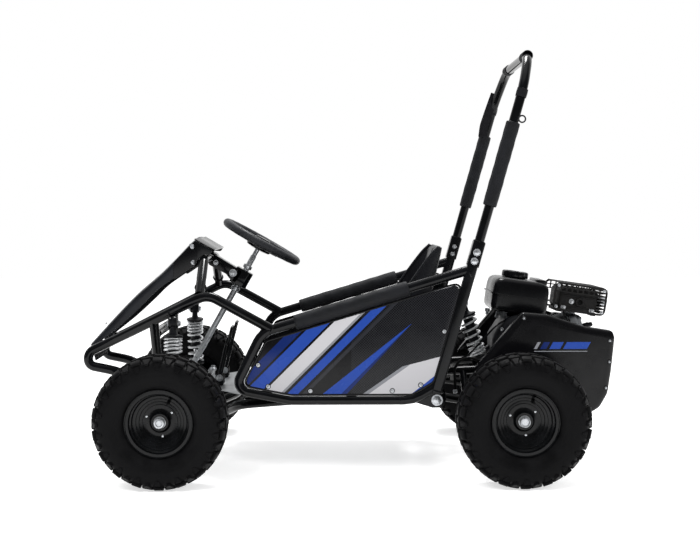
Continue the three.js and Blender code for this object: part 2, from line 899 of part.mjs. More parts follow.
function dashFrame() {
  const foot = (side) => at(dashX, side * dashFootHalf, apexZ);
  const top = (side) => at(dashX, side * dashHalf, dashTopZ);
  const hoop = tube([foot(-1), top(-1), top(1), foot(1)], tubeSize, dashBend);
  const middle = columnPoint(bearingRise);
  const run = flat(middle.x - dashX, middle.z - dashTopZ);
  const across = flat(-run.y, run.x).normalize().multiplyScalar(channelHeight / 2);
  const start = flat(dashX, dashTopZ);
  const end = start.clone().add(run);
  const outline = [
    start.clone().sub(across),
    end.clone().sub(across),
    end.clone().add(across),
    start.clone().add(across),
  ];
  const tilt = radians(columnTilt);
  const housing = new THREE.BoxGeometry(housingDepth, channelWidth, housingLength).rotateY(tilt);
  housing.translate(middle.x, 0, middle.z);
  const [boreLow, boreHigh] = [-1, 1].map((end) => columnPoint(bearingRise + end * housingLength));
  const bore = bar(boreLow, boreHigh, columnSize + 2 * slack);
  const inside = solid(cowlHull(-cowlWall - slack));
  const ears = sides.map(([side]) => {
    const earY = side * (dashHalf - dashBend);
    const ear = block(
      at(dashX - dashEarReach, earY - channelWidth / 4, dashTopZ - halfTube / 2),
      at(dashX, earY + channelWidth / 4, dashTopZ + dashEarReach),
    );
    return shaped(solid(ear).intersect(inside));
  });
  const whole = join(hoop, plate(outline, -channelWidth / 2, channelWidth / 2), housing, ...ears);
  return cut(whole, ...copeTools(), bore);
}

// Nose cowl: a bowed shell from the nose loops up to the dash. Each station is given in shares of the length,
// rise, deepest skirt and half width of the cowl.
const cowlWall = 3;
const cowlLength = 289;
const cowlLowZ = 322;
const cowlRise = 284;
const cowlSkirt = 44;
const cowlHalf = 146;
const cowlShares = [
  [0, 0, 0.227, 0.63],
  [0.239, 0.289, 0.773, 0.685],
  [0.436, 0.504, 1, 0.753],
  [0.564, 0.595, 0.682, 0.808],
  [0.675, 0.669, 0.727, 0.863],
  [0.813, 0.813, 0.955, 0.932],
  [0.931, 0.944, 1, 0.98],
  [1, 1, 0.864, 1],
];
const cowlStations = cowlShares.map(([along, rise, skirt, half]) => ({
  x: tipX + along * cowlLength,
  z: cowlLowZ + rise * cowlRise,
  skirt: skirt * cowlSkirt,
  half: half * cowlHalf,
}));
const cowlCorner = 16;
const cowlCrown = 6;
const cornerShare = 0.8;
const cowlTabLag = 41;
const cowlTabX = tipX + cowlTabLag;
const cowlTabWidth = 24;
const cowlTabHeight = 26;

function cowlPlace(i, point) {
  const here = cowlStations[i];
  const before = cowlStations[Math.max(i - 1, 0)];
  const after = cowlStations[Math.min(i + 1, cowlStations.length - 1)];
  const run = flat(after.x - before.x, after.z - before.z).normalize();
  return at(here.x - run.y * point.y, point.x, here.z + run.x * point.y);
}

function noseCowl() {
  const sections = cowlStations.map(({ skirt, half }) => {
    const corner = Math.min(cowlCorner, skirt * cornerShare);
    return channel(half, skirt, corner, cowlCrown, cowlWall);
  });
  return join(loft(sections, cowlPlace));
}

// The space inside the cowl's outer skin, grown or shrunk, which its mounts are cut against
function cowlHull(grow) {
  const sections = cowlStations.map(({ skirt, half }) => {
    const corner = Math.min(cowlCorner, skirt * cornerShare);
    const row = channel(half + grow, 2 * skirt, corner, cowlCrown + grow, cowlWall);
    return row.slice(0, row.length / 2).map((point) => flat(point.x, point.y + grow));
  });
  return loft(sections, cowlPlace);
}

// Tab of the nose loop that the foot of the cowl is screwed to
function noseTab(side) {
  const inner = side * (noseHalf - cowlTabHeight);
  const outer = side * noseHalf;
  const tab = block(
    at(cowlTabX - cowlTabWidth / 2, Math.min(inner, outer), noseTopZ),
    at(cowlTabX + cowlTabWidth / 2, Math.max(inner, outer), noseTopZ + cowlTabHeight),
  );
  return cut(tab, cowlHull(slack));
}

// Seat: a bucket shell whose sides rise around the hips and the shoulders. Each station is given in shares of
// the length, rise, steepest lean, deepest side and half width of the seat.
const seatWall = 4;
const seatLag = 28;
const seatLength = 366;
const seatFrontX = uprightFootX + seatLag - seatLength;
const seatLowZ = 222;
const seatRise = 362;
const seatLean = 78;
const seatSide = 128;
const seatHalf = 172;
const seatShares = [
  [0, 0.11, -0.231, 0.234, 0.872],
  [0.142, 0.039, -0.103, 0.484, 0.953],
  [0.415, 0, 0, 0.75, 1],
  [0.634, 0.011, 0.359, 0.984, 1],
  [0.776, 0.127, 0.795, 1, 0.988],
  [0.858, 0.381, 0.949, 0.875, 0.953],
  [0.934, 0.685, 0.962, 0.672, 0.907],
  [0.984, 0.912, 0.974, 0.406, 0.86],
  [1, 1, 1, 0.109, 0.814],
];
const seatStations = seatShares.map(([along, rise, lean, side, half]) => ({
  x: seatFrontX + along * seatLength,
  z: seatLowZ + rise * seatRise,
  lean: lean * seatLean,
  side: side * seatSide,
  half: half * seatHalf,
}));
const seatCorner = 42;
const runnerFrontLead = 261;
const runnerLength = 150;
const runnerFrontX = uprightFootX - runnerFrontLead;
const runnerRearX = runnerFrontX + runnerLength;
const runnerWidth = 22;
const runnerRise = 14;

function seatShell() {
  const sections = seatStations.map(({ side, half }) => {
    const corner = Math.min(seatCorner, side * cornerShare);
    return channel(half, side, corner, 0, seatWall);
  });
  const shell = loft(sections, (i, point) => {
    const { x, z, lean } = seatStations[i];
    const angle = radians(lean);
    return at(x + point.y * Math.sin(angle), point.x, z - point.y * Math.cos(angle));
  });
  const runners = sides.map(([side]) => block(
    at(runnerFrontX, side * seatRailHalf - runnerWidth / 2, floorZ + floorWall + slack),
    at(runnerRearX, side * seatRailHalf + runnerWidth / 2, floorZ + floorWall + runnerRise),
  ));
  return join(shell, ...runners);
}

// Wheels: knobbly tyres on pressed rims
const rimSeat = 74;
const rimFlange = 84;
const rimHalf = 48;
const flangeWall = 3.4;
const hubSize = 42;
const hubHalf = 34;
const hubOut = 22;
const treadPitches = 10;
const treadDepth = 9;
const bulgeShare = 0.42;
const lugShares = { radius: 0.9, out: 0.955 };
const crownShares = { radius: 0.982, out: 0.74 };
const barrelDrop = 8;
const barrelTaperShare = 0.6;
const discTaperShare = 0.6;
const discInner = 6;
const discOuter = 9;
const discBulge = 20;
const discLip = 2;
const axlePlay = 0.5;

function tyre() {
  const half = tyreWidth / 2;
  const bead = rimSeat + 2 * slack;
  const beadHalf = rimHalf - flangeWall - slack;
  const wall = rimFlange + 2 * slack;
  const stationShares = [0, 0.42, 0.5, 0.92];
  const side = [
    { r: bead, y: beadHalf, row: -1 },
    { r: wall, y: beadHalf, row: -1 },
    { r: wall + (tyreRadius - wall) * bulgeShare, y: half, row: -1 },
    { r: tyreRadius * lugShares.radius, y: half * lugShares.out, row: 0 },
    { r: tyreRadius * crownShares.radius, y: half * crownShares.out, row: 0 },
  ];
  const mirrored = side.map(({ r, y, row }) => ({ r, y: -y, row })).reverse();
  const points = [...side, { r: tyreRadius, y: 0, row: 1 }, ...mirrored];
  const profile = [...points, points[0]];
  const count = treadPitches * stationShares.length;
  const geometry = turned(profile.map(({ r, y }) => flat(r, y)), count);
  const position = geometry.getAttribute('position');
  for (let i = 0; i < position.count; i += 1) {
    const station = Math.floor(i / profile.length) % count;
    const { r, y, row } = profile[i % profile.length];
    const step = station % stationShares.length;
    const pitch = Math.floor(station / stationShares.length) + stationShares[step];
    const angle = 2 * Math.PI * pitch / treadPitches;
    const sunk = row >= 0 && (row === 0) === (step >= 2);
    const radius = sunk ? r - treadDepth : r;
    position.setXYZ(i, radius * Math.sin(angle), y, radius * Math.cos(angle));
  }
  return shaped(solid(geometry));
}

function rim(side, boreSize) {
  const flangeIn = rimHalf - flangeWall;
  const barrelIn = rimSeat - barrelDrop;
  const profile = [
    [rimFlange, rimHalf],
    [rimFlange, flangeIn],
    [rimSeat, flangeIn],
    [rimSeat, -flangeIn],
    [rimFlange, -flangeIn],
    [rimFlange, -rimHalf],
    [barrelIn, -flangeIn * barrelTaperShare],
    [barrelIn, 0],
    [hubSize / 2, -discInner],
    [hubSize / 2, -hubHalf],
    [boreSize / 2, -hubHalf],
    [boreSize / 2, hubOut],
    [hubSize / 2, hubOut],
    [barrelIn * discTaperShare, discOuter],
    [barrelIn - discLip, discBulge],
    [barrelIn + discLip, flangeIn],
    [rimFlange, rimHalf],
  ];
  return shaped(solid(turned(profile.map(([r, y]) => flat(r, side * y)), 16)));
}

// Front suspension: an A-shaped arm with a yoke for the kingpin, and ears for the foot of the shock
const armZ = axleZ;

function frontArm(side) {
  const outer = at(0, side * (kingpinHalf - yokeReach), armZ);
  const pieces = [];
  for (const end of [-1, 1]) {
    const inner = at(end * armSpread, side * armPivotHalf, armZ);
    pieces.push(bar(inner, outer, armTube, 8));
    const half = at(armBushLength / 2, 0, 0);
    pieces.push(bar(inner.clone().sub(half), inner.clone().add(half), armBush));
  }
  const webIn = kingpinHalf - yokeReach;
  const nose = [0, 1, 2, 3, 4, 5, 6].map((step) => {
    const angle = Math.PI * step / 6;
    return flat(yokeNose * Math.cos(angle), side * (kingpinHalf + yokeNose * Math.sin(angle)));
  });
  const yokeOutline = [flat(-yokeWidth / 2, side * webIn), flat(yokeWidth / 2, side * webIn), ...nose];
  for (const face of [-1, 1]) {
    const near = armZ + face * (yokeHeight / 2);
    const far = near + face * yokePlate;
    pieces.push(sheet(yokeOutline, Math.min(near, far), Math.max(near, far)));
  }
  const webOut = webIn + yokeWeb;
  pieces.push(block(
    at(-yokeWidth / 2, Math.min(side * webIn, side * webOut), armZ - yokeHeight / 2 - yokePlate),
    at(yokeWidth / 2, Math.max(side * webIn, side * webOut), armZ + yokeHeight / 2 + yokePlate),
  ));
  const pinHalf = yokeHeight / 2 + yokePlate;
  pieces.push(pinUpright(0, side * kingpinHalf, armZ - pinHalf, armZ + pinHalf, kingpinSize));
  for (const face of [-1, 1]) {
    const near = frontEyeX + face * (eyeWidth / 2 + slack);
    const far = near + face * earWall;
    pieces.push(block(
      at(Math.min(near, far), side * frontFootHalf - earWidth / 2, armZ),
      at(Math.max(near, far), side * frontFootHalf + earWidth / 2, frontFootZ + eyePin / 2 + earWall),
    ));
  }
  pieces.push(eyePinBar(frontEyeX, side * frontFootHalf, frontFootZ, true, eyeWidth + 2 * earWall));
  const holes = [-1, 1].map((end) => bar(
    at(end * armSpread - armBushLength, side * armPivotHalf, armZ),
    at(end * armSpread + armBushLength, side * armPivotHalf, armZ),
    eyePin + 2 * slack,
  ));
  return cut(join(...pieces), ...holes);
}

// Knuckle: a barrel on the kingpin, the stub axle with its nut, and the steering arm with its pin
const stubOut = hubOut + slack;
const armPinSize = 8;
const armPinTop = 215;
const rodEye = 22;
const rodEyeHeight = 11;

function hubNutBar(side, centre) {
  const near = wheelY + stubOut;
  return barAcross(centre.x, centre.z, side * near, side * (near + hubNutLength), hubNut, 6);
}

function knuckle(side) {
  const half = yokeHeight / 2 - slack;
  const centre = at(0, side * kingpinHalf, armZ);
  const barrel = barUpright(0, centre.y, armZ - half, armZ + half, knuckleBarrel);
  const stub = pin(centre, at(0, side * (wheelY + stubOut + hubNutLength), armZ), spindleSize);
  const shoulder = bar(centre, at(0, side * (wheelY - hubHalf - slack), armZ), knuckleBarrel);
  const tip = at(steerArm, side * steerArmHalf, steerArmZ);
  const arm = bar(at(0, side * kingpinHalf, steerArmZ - slack - armPinSize), tip, rodSize);
  const post = pin(tip, at(tip.x, tip.y, armPinTop), armPinSize);
  const hole = barUpright(0, centre.y, armZ - yokeHeight, armZ + yokeHeight, kingpinSize + 2 * axlePlay);
  return cut(join(barrel, stub, shoulder, arm, post, hubNutBar(side, centre)), hole);
}

// Tie rod: an eye on the knuckle's pin, a straight rod, and a pin that drops into the pitman's slot
const rodZ = steerArmZ + rodSize / 2 + rodEyeHeight / 2 + 3 * slack;
const pitmanTip = columnPoint(-columnLow).add(
  at(pitmanArm * Math.cos(radians(columnTilt)), 0, -pitmanArm * Math.sin(radians(columnTilt))),
);
const slotSize = 28;
const slotStretch = 8;
const slotWall = 4;

function tieRod(side) {
  const outer = at(steerArm, side * steerArmHalf, rodZ);
  const inner = at(pitmanTip.x, side * pitmanHalf, rodZ);
  const eye = barUpright(outer.x, outer.y, rodZ - rodEyeHeight / 2, rodZ + rodEyeHeight / 2, rodEye);
  const postTop = pitmanTip.z - 2 * rodEyeHeight;
  const post = pinUpright(inner.x, inner.y, rodZ + rodSize / 2, postTop, armPinSize);
  const hole = barUpright(outer.x, outer.y, rodZ - rodEye, rodZ + rodEye, armPinSize + 2 * axlePlay);
  return cut(join(eye, bar(outer, inner, rodSize), post), hole);
}

// Steering in its own leaning frame: Z runs up the column from its reference point
function columnShaft() {
  const shaft = pin(at(0, 0, -columnLow), at(0, 0, wheelRise - wheelGrip), columnSize);
  const half = pitmanHalf + slotSize / 2 + slotWall;
  const reach = pitmanArm + slotStretch + slotSize / 2 + slotWall;
  const outline = [
    flat(-columnSize, -columnSize),
    flat(pitmanWaist, -half),
    flat(reach, -half),
    flat(reach, half),
    flat(pitmanWaist, half),
    flat(-columnSize, columnSize),
  ];
  const pitman = sheet(outline, -columnLow - pitmanPlate, -columnLow);
  const slots = sides.map(([side]) => {
    const y = side * pitmanHalf;
    const far = pitmanArm + slotStretch;
    const corners = [
      flat(pitmanArm - slotSize / 2, y - slotSize / 2),
      flat(far + slotSize / 2, y - slotSize / 2),
      flat(far + slotSize / 2, y + slotSize / 2),
      flat(pitmanArm - slotSize / 2, y + slotSize / 2),
    ];
    return sheet(rounded(corners, slotSize / 2), -columnLow - 2 * pitmanPlate, -columnLow + pitmanPlate);
  });
  return cut(join(shaft, pitman), ...slots);
}

const hubPlate = 36;
const hubPlateWall = 5;
const spokeWidth = 24;

function steeringWheel() {
  const rimRing = new THREE.TorusGeometry(wheelRing, wheelGrip / 2, 7, 20).translate(0, 0, wheelRise);
  const pieces = [rimRing];
  const lowZ = wheelRise - wheelGrip + slack;
  const plateTop = wheelRise - wheelGrip / 2 + hubPlateWall;
  pieces.push(bar(at(0, 0, lowZ), at(0, 0, plateTop), 2 * hubPlate, 16));
  for (const angle of [90, 210, 330]) {
    const spoke = new THREE.BoxGeometry(wheelRing, spokeWidth, hubPlateWall);
    spoke.translate(wheelRing / 2, 0, 0).rotateZ(radians(angle + 90));
    pieces.push(spoke.translate(0, 0, plateTop - hubPlateWall / 2 - slack));
  }
  return join(...pieces);
}

// Shock absorbers, in a frame whose Z runs up from the foot eye to the top eye at its origin
const topSeatDrop = 30;
const footSeatRise = 24;
const bodyClear = 42;
const springLip = 2;
const rodShare = 0.45;

function eyeRing(z, alongX, bore) {
  const half = alongX ? at(eyeWidth / 2, 0, 0) : at(0, eyeWidth / 2, 0);
  const centre = at(0, 0, z);
  const out = half.clone().multiplyScalar(2);
  return {
    ring: bar(centre.clone().sub(half), centre.clone().add(half), eyeSize, 10),
    hole: bar(centre.clone().sub(out), centre.clone().add(out), bore, 8),
  };
}

function shockTop(length, alongX) {
  const eye = eyeRing(0, alongX, eyePin + 2 * slack);
  const lowZ = -length + footSeatRise + springSeat + bodyClear;
  const neck = bar(at(0, 0, -eyeSize / 2 + overrun), at(0, 0, -topSeatDrop - springSeat), eyeWidth, 8);
  const seat = bar(at(0, 0, -topSeatDrop - springSeat), at(0, 0, -topSeatDrop), springSize + springLip, 16);
  const body = pin(at(0, 0, lowZ), at(0, 0, -topSeatDrop), shockBody);
  const bore = bar(at(0, 0, lowZ - overrun), at(0, 0, -topSeatDrop - 2 * springSeat), shockRod + 2 * slack);
  return cut(join(eye.ring, neck, seat, body), eye.hole, bore);
}

function shockFoot(length, alongX) {
  const eye = eyeRing(-length, alongX, eyePin + 2 * eyePlay);
  const seatZ = -length + footSeatRise;
  const seat = bar(at(0, 0, seatZ), at(0, 0, seatZ + springSeat), springSize + springLip, 16);
  const neck = bar(at(0, 0, -length + eyeSize / 2 - overrun), at(0, 0, seatZ + springSeat), eyeWidth, 8);
  const bodyLow = seatZ + springSeat + bodyClear;
  const rodTop = bodyLow - (topSeatDrop + bodyLow) * rodShare;
  const rod = pin(at(0, 0, -length + eyeSize / 2), at(0, 0, rodTop), shockRod);
  return cut(join(eye.ring, seat, neck, rod), eye.hole);
}

const curlSteps = 8;
const wireSides = 5;

// An unbroken coil spring whose wire runs straight for one wire size at both ends
function coilSpring(length, curls, name) {
  const wireReach = springWire / 2 / Math.cos(Math.PI / wireSides) + 2 * slack;
  const lowZ = -length + footSeatRise + springSeat + wireReach;
  const highZ = -topSeatDrop - springSeat - wireReach;
  const radius = (springSize - springWire) / 2;
  const rise = (highZ - lowZ) / (2 * Math.PI * curls);
  const stations = [];
  const headings = [];
  for (let i = 0; i <= curls * curlSteps; i += 1) {
    const angle = 2 * Math.PI * i / curlSteps;
    stations.push(at(radius * Math.cos(angle), radius * Math.sin(angle), lowZ + rise * angle));
    headings.push(at(-radius * Math.sin(angle), radius * Math.cos(angle), rise).normalize());
  }
  const level = (heading) => at(heading.x, heading.y, 0).normalize();
  const count = stations.length;
  const first = stations[0].clone().addScaledVector(level(headings[0]), -springWire);
  const last = stations[count - 1].clone().addScaledVector(level(headings[count - 1]), springWire);
  const turns = [level(headings[0]), ...headings, level(headings[count - 1])];
  const path = new StationPath([first, ...stations, last], turns);
  let least = Infinity;
  for (let i = 0; i < count; i += 1) {
    const others = stations.slice(i + curlSteps / 2).map((other) => stations[i].distanceTo(other));
    least = Math.min(least, ...others);
  }
  console.log(`${name}: least gap between curls ${(least - springWire).toFixed(2)} mm`);
  return shaped(solid(sweep(roundSection(springWire, wireSides), path)));
}

// A frame at the top eye whose Z points away from the foot
function shockGroup(top, foot) {
  const made = group(top.x, top.y, top.z, 0, 0);
  made.quaternion.setFromUnitVectors(up, top.clone().sub(foot).normalize());
  return made;
}

// Rear swing arm: a pivot tube, side tubes to the axle housings, and a leaning carrier for the engine
const enginePlate = 4;
const plateBite = 1;
const strutSize = 18;
const plateHalf = 112;
const carrierFront = 96;
const plateFront = 68;
const carrierRear = 124;
const carrierNoseLag = 12;
const carrierNoseX = pivotX + carrierNoseLag;
const carrierNoseZ = 249;
const strutLag = 84;
const strutX = pivotX + strutLag;
const tailStayLead = 51;
const tailStayX = wheelbase - tailStayLead;
const tailStayZ = 275;
const tailStay = 20;
const tailIn = 42;
const tailFace = railHalf - tailIn;
const tailWall = 3.5;

function engineToKart(u, v, w) {
  return at(u, v, w).applyAxisAngle(at(0, 1, 0), radians(engineTilt)).add(at(engineX, 0, engineZ));
}

function swingArm() {
  const carrierW = -enginePlate - swingTube / 2 + plateBite;
  const pivotHalf = gussetIn - gussetWall - 2 * slack;
  const pieces = [bar(at(pivotX, -pivotHalf, pivotZ), at(pivotX, pivotHalf, pivotZ), pivotTube)];
  const tailZ = engineToKart(carrierRear, 0, carrierW).z;
  for (const [side] of sides) {
    const y = side * swingHalf;
    const centre = at(wheelbase, y, axleZ);
    pieces.push(bar(at(pivotX, y, pivotZ), centre, swingTube));
    const half = housingWidth / 2;
    pieces.push(barAcross(wheelbase, axleZ, y - half, y + half, housingSize, 16));
    pieces.push(bar(centre, at(tailCrossX, y, tailZ), swingTube));
    const carrier = [
      at(carrierNoseX, side * carrierHalf, carrierNoseZ),
      engineToKart(-carrierFront, side * carrierHalf, carrierW),
      engineToKart(carrierRear, side * carrierHalf, carrierW),
    ];
    pieces.push(tube(carrier, swingTube, hoopBend));
    pieces.push(bar(at(pivotX, side * carrierHalf, pivotZ), carrier[0], swingTube));
    const strutTop = at(strutX, side * carrierHalf, carrierNoseZ);
    const strutDrop = strutLag * (pivotZ - axleZ) / swingLength;
    pieces.push(bar(at(strutX, y, pivotZ - strutDrop), strutTop, strutSize));
  }
  const crossZ = carrierNoseZ - eyeSize;
  pieces.push(barAcross(carrierNoseX, carrierNoseZ, -carrierHalf, carrierHalf, swingTube));
  pieces.push(barAcross(rearFootX, crossZ, -carrierHalf, carrierHalf, swingTube));
  const tailHalf = tailFace - tailWall - slack;
  pieces.push(bar(at(tailCrossX, -tailHalf, tailZ), at(tailCrossX, tailHalf, tailZ), swingTube));
  for (const face of [-1, 1]) {
    const stay = at(tailStayX, face * carrierHalf, tailStayZ);
    pieces.push(bar(stay, at(tailStayX, face * tailHalf, tailStayZ), tailStay));
    const near = face * (eyeWidth / 2 + slack);
    const far = near + face * earWall;
    pieces.push(block(
      at(rearFootX - eyeSize / 2, Math.min(near, far), carrierNoseZ - eyeSize),
      at(rearFootX + eyeSize / 2, Math.max(near, far), rearFootZ + eyePin / 2 + earWall),
    ));
    const ear = face * carrierHalf;
    const earFar = ear - face * earWall;
    pieces.push(block(
      at(rearFootX - eyeSize / 2, Math.min(ear, earFar), carrierNoseZ - eyeSize),
      at(rearFootX + eyeSize / 2, Math.max(ear, earFar), carrierNoseZ + earWall),
    ));
  }
  pieces.push(eyePinBar(rearFootX, 0, rearFootZ, false, eyeWidth + 2 * earWall));
  const plateLow = at(-plateFront, -plateHalf, -enginePlate - slack);
  const carrierPlate = block(plateLow, at(carrierRear, plateHalf, -slack));
  pieces.push(carrierPlate.rotateY(radians(engineTilt)).translate(engineX, 0, engineZ));
  const holes = [
    bar(at(pivotX, -railHalf, pivotZ), at(pivotX, railHalf, pivotZ), pivotBolt + 2 * slack),
    bar(at(wheelbase, -railHalf, axleZ), at(wheelbase, railHalf, axleZ), axleSize + 2 * axlePlay),
  ];
  return cut(join(...pieces), ...holes);
}

const boltHead = 24;
const boltHeadWall = 8;

function pivotBoltPiece() {
  const out = gussetIn + overrun + slack;
  const far = out + boltHeadWall;
  const heads = [-1, 1].map((side) => barAcross(pivotX, pivotZ, side * out, side * far, boltHead, 6));
  return join(pinAcross(pivotX, pivotZ, -out - overrun, out + overrun, pivotBolt), ...heads);
}

// Live axle with the nuts that hold both rear rims
function rearAxle() {
  const out = wheelY + stubOut + hubNutLength;
  const centre = at(wheelbase, 0, axleZ);
  return join(
    pin(at(wheelbase, -out, axleZ), at(wheelbase, out, axleZ), axleSize),
    hubNutBar(-1, centre),
    hubNutBar(1, centre),
  );
}

// Chain drive on the right, brake disc on the left
const chainY = 140;
const chainPitch = 12.7;
const bigTeeth = 36;
const smallTeeth = 10;
const sprocketWall = 4;
const toothRise = 3;
const toothRoot = 4;
const toothShares = { start: 0.3, end: 0.6 };
const crankU = -4;
const crankW = 62;
const clutchSize = 84;
const clutchIn = 84;
const clutchOut = 128;
const discSize = 150;
const discWall = 4;
const discY = -146;
const discHoles = 6;
const discHole = 16.5;
const discHoleRing = 48;
const chainGap = 9;

function pitchRadius(teeth) {
  return chainPitch / 2 / Math.sin(Math.PI / teeth);
}

// A toothed plate about the Y axis in the plane of the chain, with a bore
function chainPlate(teeth, boreSize) {
  const lowY = chainY - sprocketWall / 2;
  const highY = chainY + sprocketWall / 2;
  const root = pitchRadius(teeth) - toothRoot;
  const outline = [];
  for (let i = 0; i < teeth; i += 1) {
    const tip = root + toothRise;
    const corners = [[0, root], [toothShares.start, tip], [toothShares.end, tip]];
    corners.forEach(([share, radius]) => {
      const angle = 2 * Math.PI * (i + share) / teeth;
      outline.push(flat(radius * Math.cos(angle), radius * Math.sin(angle)));
    });
  }
  const shape = plate(outline, lowY, highY);
  return cut(shape, bar(at(0, lowY - overrun, 0), at(0, highY + overrun, 0), boreSize));
}

function brakeDisc() {
  const disc = bar(at(0, discY - discWall / 2, 0), at(0, discY + discWall / 2, 0), discSize, 24);
  const holes = [bar(at(0, discY - overrun, 0), at(0, discY + overrun, 0), axleSize + 2 * slack)];
  for (let i = 0; i < discHoles; i += 1) {
    const angle = 2 * Math.PI * i / discHoles;
    const centre = at(discHoleRing * Math.cos(angle), 0, discHoleRing * Math.sin(angle));
    holes.push(bar(centre.clone().setY(discY - overrun), centre.clone().setY(discY + overrun), discHole));
  }
  return cut(disc, ...holes);
}

// A closed run of chain around both sprockets, outside the tips of their teeth. Its edge swells at every pin.
const chainHalf = 3.6;
const chainWaist = 2.6;

function chain() {
  const big = flat(wheelbase, axleZ);
  const crank = engineToKart(crankU, 0, crankW);
  const small = flat(crank.x, crank.z);
  const bigR = pitchRadius(bigTeeth) + toothRise - toothRoot + chainHalf + 2 * slack;
  const smallR = pitchRadius(smallTeeth) + toothRise - toothRoot + chainHalf + 2 * slack;
  const span = small.clone().sub(big);
  const heading = span.angle();
  const spread = Math.acos((bigR - smallR) / span.length());
  const run = Math.sqrt(span.lengthSq() - (bigR - smallR) ** 2);
  const bigArc = bigR * (2 * Math.PI - 2 * spread);
  const smallArc = smallR * 2 * spread;
  const total = bigArc + smallArc + 2 * run;
  const around = (centre, radius, angle) => ({
    point: flat(centre.x + radius * Math.cos(angle), centre.y + radius * Math.sin(angle)),
    out: flat(Math.cos(angle), Math.sin(angle)),
  });
  const along = (distance) => {
    if (distance < bigArc) return around(big, bigR, heading + spread + distance / bigR);
    if (distance < bigArc + run) {
      const share = (distance - bigArc) / run;
      const from = around(big, bigR, heading - spread);
      const to = around(small, smallR, heading - spread);
      return { point: from.point.lerp(to.point, share), out: from.out };
    }
    if (distance < bigArc + run + smallArc) {
      return around(small, smallR, heading - spread + (distance - bigArc - run) / smallR);
    }
    const share = (distance - bigArc - run - smallArc) / run;
    const from = around(small, smallR, heading + spread);
    const to = around(big, bigR, heading + spread);
    return { point: from.point.lerp(to.point, share), out: from.out };
  };
  const steps = 2 * Math.round(total / chainPitch / 2);
  const outer = [];
  const inner = [];
  for (let i = 0; i < steps; i += 1) {
    const { point, out } = along(total * i / steps);
    const half = i % 2 === 0 ? chainHalf : chainWaist;
    outer.push(point.clone().addScaledVector(out, half));
    inner.push(point.clone().addScaledVector(out, -half));
  }
  const low = chainY - chainGap / 2;
  const high = chainY + chainGap / 2;
  return cut(plate(outer, low, high), plate(inner, low - overrun, high + overrun));
}

// Clutch drum with its small sprocket, in its own frame on the crankshaft
const crankSize = 18;
const crankHeadWall = 6;
const drumLip = 5;
const hubEnd = chainY + chainGap / 2 + slack;

function clutch() {
  const profile = [
    flat(crankSize / 2 + axlePlay, clutchIn),
    flat(clutchSize / 2 - drumLip, clutchIn),
    flat(clutchSize / 2, clutchIn + drumLip),
    flat(clutchSize / 2, clutchOut),
    flat(clutchSize / 2 - drumLip, clutchOut + drumLip),
    flat(crankSize, clutchOut + drumLip),
    flat(crankSize, hubEnd),
    flat(crankSize / 2 + axlePlay, hubEnd),
    flat(crankSize / 2 + axlePlay, clutchIn),
  ];
  const teeth = chainPlate(smallTeeth, crankSize + 2 * axlePlay);
  return join(turned(profile, 12), teeth);
}

// Brake caliper that straddles the disc's front edge, and sits against the inside of the left swing-arm tube
const caliperLength = 46;
const caliperDrop = 14;
const caliperHeight = 56;
const caliperBite = 24;
const caliperSlot = 8;

function brakeCaliper() {
  const frontX = wheelbase - discSize / 2 + caliperBite - caliperLength;
  const outer = -swingHalf + swingTube / 2 + slack;
  const inner = 2 * discY - outer;
  const low = axleZ - caliperDrop;
  const outline = [
    flat(frontX, low),
    flat(frontX + caliperLength, low),
    flat(frontX + caliperLength, low + caliperHeight),
    flat(frontX, low + caliperHeight),
  ];
  const body = plate(rounded(outline, caliperDrop / 2), outer, inner);
  const gap = block(
    at(frontX + caliperLength - caliperBite - overrun, discY - caliperSlot / 2, low - overrun),
    at(frontX + caliperLength + overrun, discY + caliperSlot / 2, low + caliperHeight + overrun),
  );
  return cut(body, gap);
}

// Engine, in the frame of the leaning carrier: X along the carrier, Z square to it
const caseHalf = 78;
const caseTop = 128;
const caseFront = -82;
const caseLength = 168;
const caseShares = [[0.095, 0], [0.952, 0], [1, 0.469], [0.845, 1], [0.161, 1], [0, 0.547], [0.036, 0.188]];
const caseOutline = caseShares.map(([along, rise]) => flat(caseFront + along * caseLength, rise * caseTop));
const cylinderU = 20;
const cylinderLean = 25;
const barrelLength = 132;
const barrelHalf = 33;
const finCount = 6;
const finFirst = 66;
const finPitch = 12;
const finWall = 4;
const finHalf = 48;
const headLength = 18;
const headHalf = 42;
const coverLength = 14;
const coverHalf = 34;
const tankLow = 144;
const postFront = -62;
const postRear = 10;
const postLeft = -52;
const postRight = 44;
const postSize = 16;
const mufflerLow = 166;
const portU = 122;
const portSize = 34;

function engineBody() {
  const pieces = [plate(rounded(caseOutline, coverLength), -caseHalf, caseHalf)];
  const alongCylinder = (low, high, half) => {
    const level = block(at(low, -half, -half), at(high, half, half));
    return level.rotateY(-radians(cylinderLean)).translate(cylinderU, 0, crankW);
  };
  pieces.push(alongCylinder(0, barrelLength, barrelHalf));
  for (let i = 0; i < finCount; i += 1) {
    const start = finFirst + i * finPitch;
    pieces.push(alongCylinder(start, start + finWall, finHalf));
  }
  pieces.push(alongCylinder(barrelLength - overrun, barrelLength + headLength - overrun, headHalf));
  pieces.push(alongCylinder(barrelLength, barrelLength + headLength + coverLength - overrun, coverHalf));
  for (const u of [postFront, postRear]) {
    for (const v of [postLeft, postRight]) {
      pieces.push(bar(at(u, v, caseTop - overrun), at(u, v, tankLow - slack), postSize));
    }
  }
  pieces.push(block(
    at(portU - portSize / 2, -portSize / 2, caseTop),
    at(portU + portSize / 2, portSize / 2, mufflerLow - slack),
  ));
  const shaftEnd = hubEnd + slack;
  const headEnd = shaftEnd + crankHeadWall;
  pieces.push(pinAcross(crankU, crankW, caseHalf - overrun, headEnd, crankSize));
  pieces.push(barAcross(crankU, crankW, shaftEnd, headEnd, 2 * crankSize, 6));
  return join(...pieces);
}

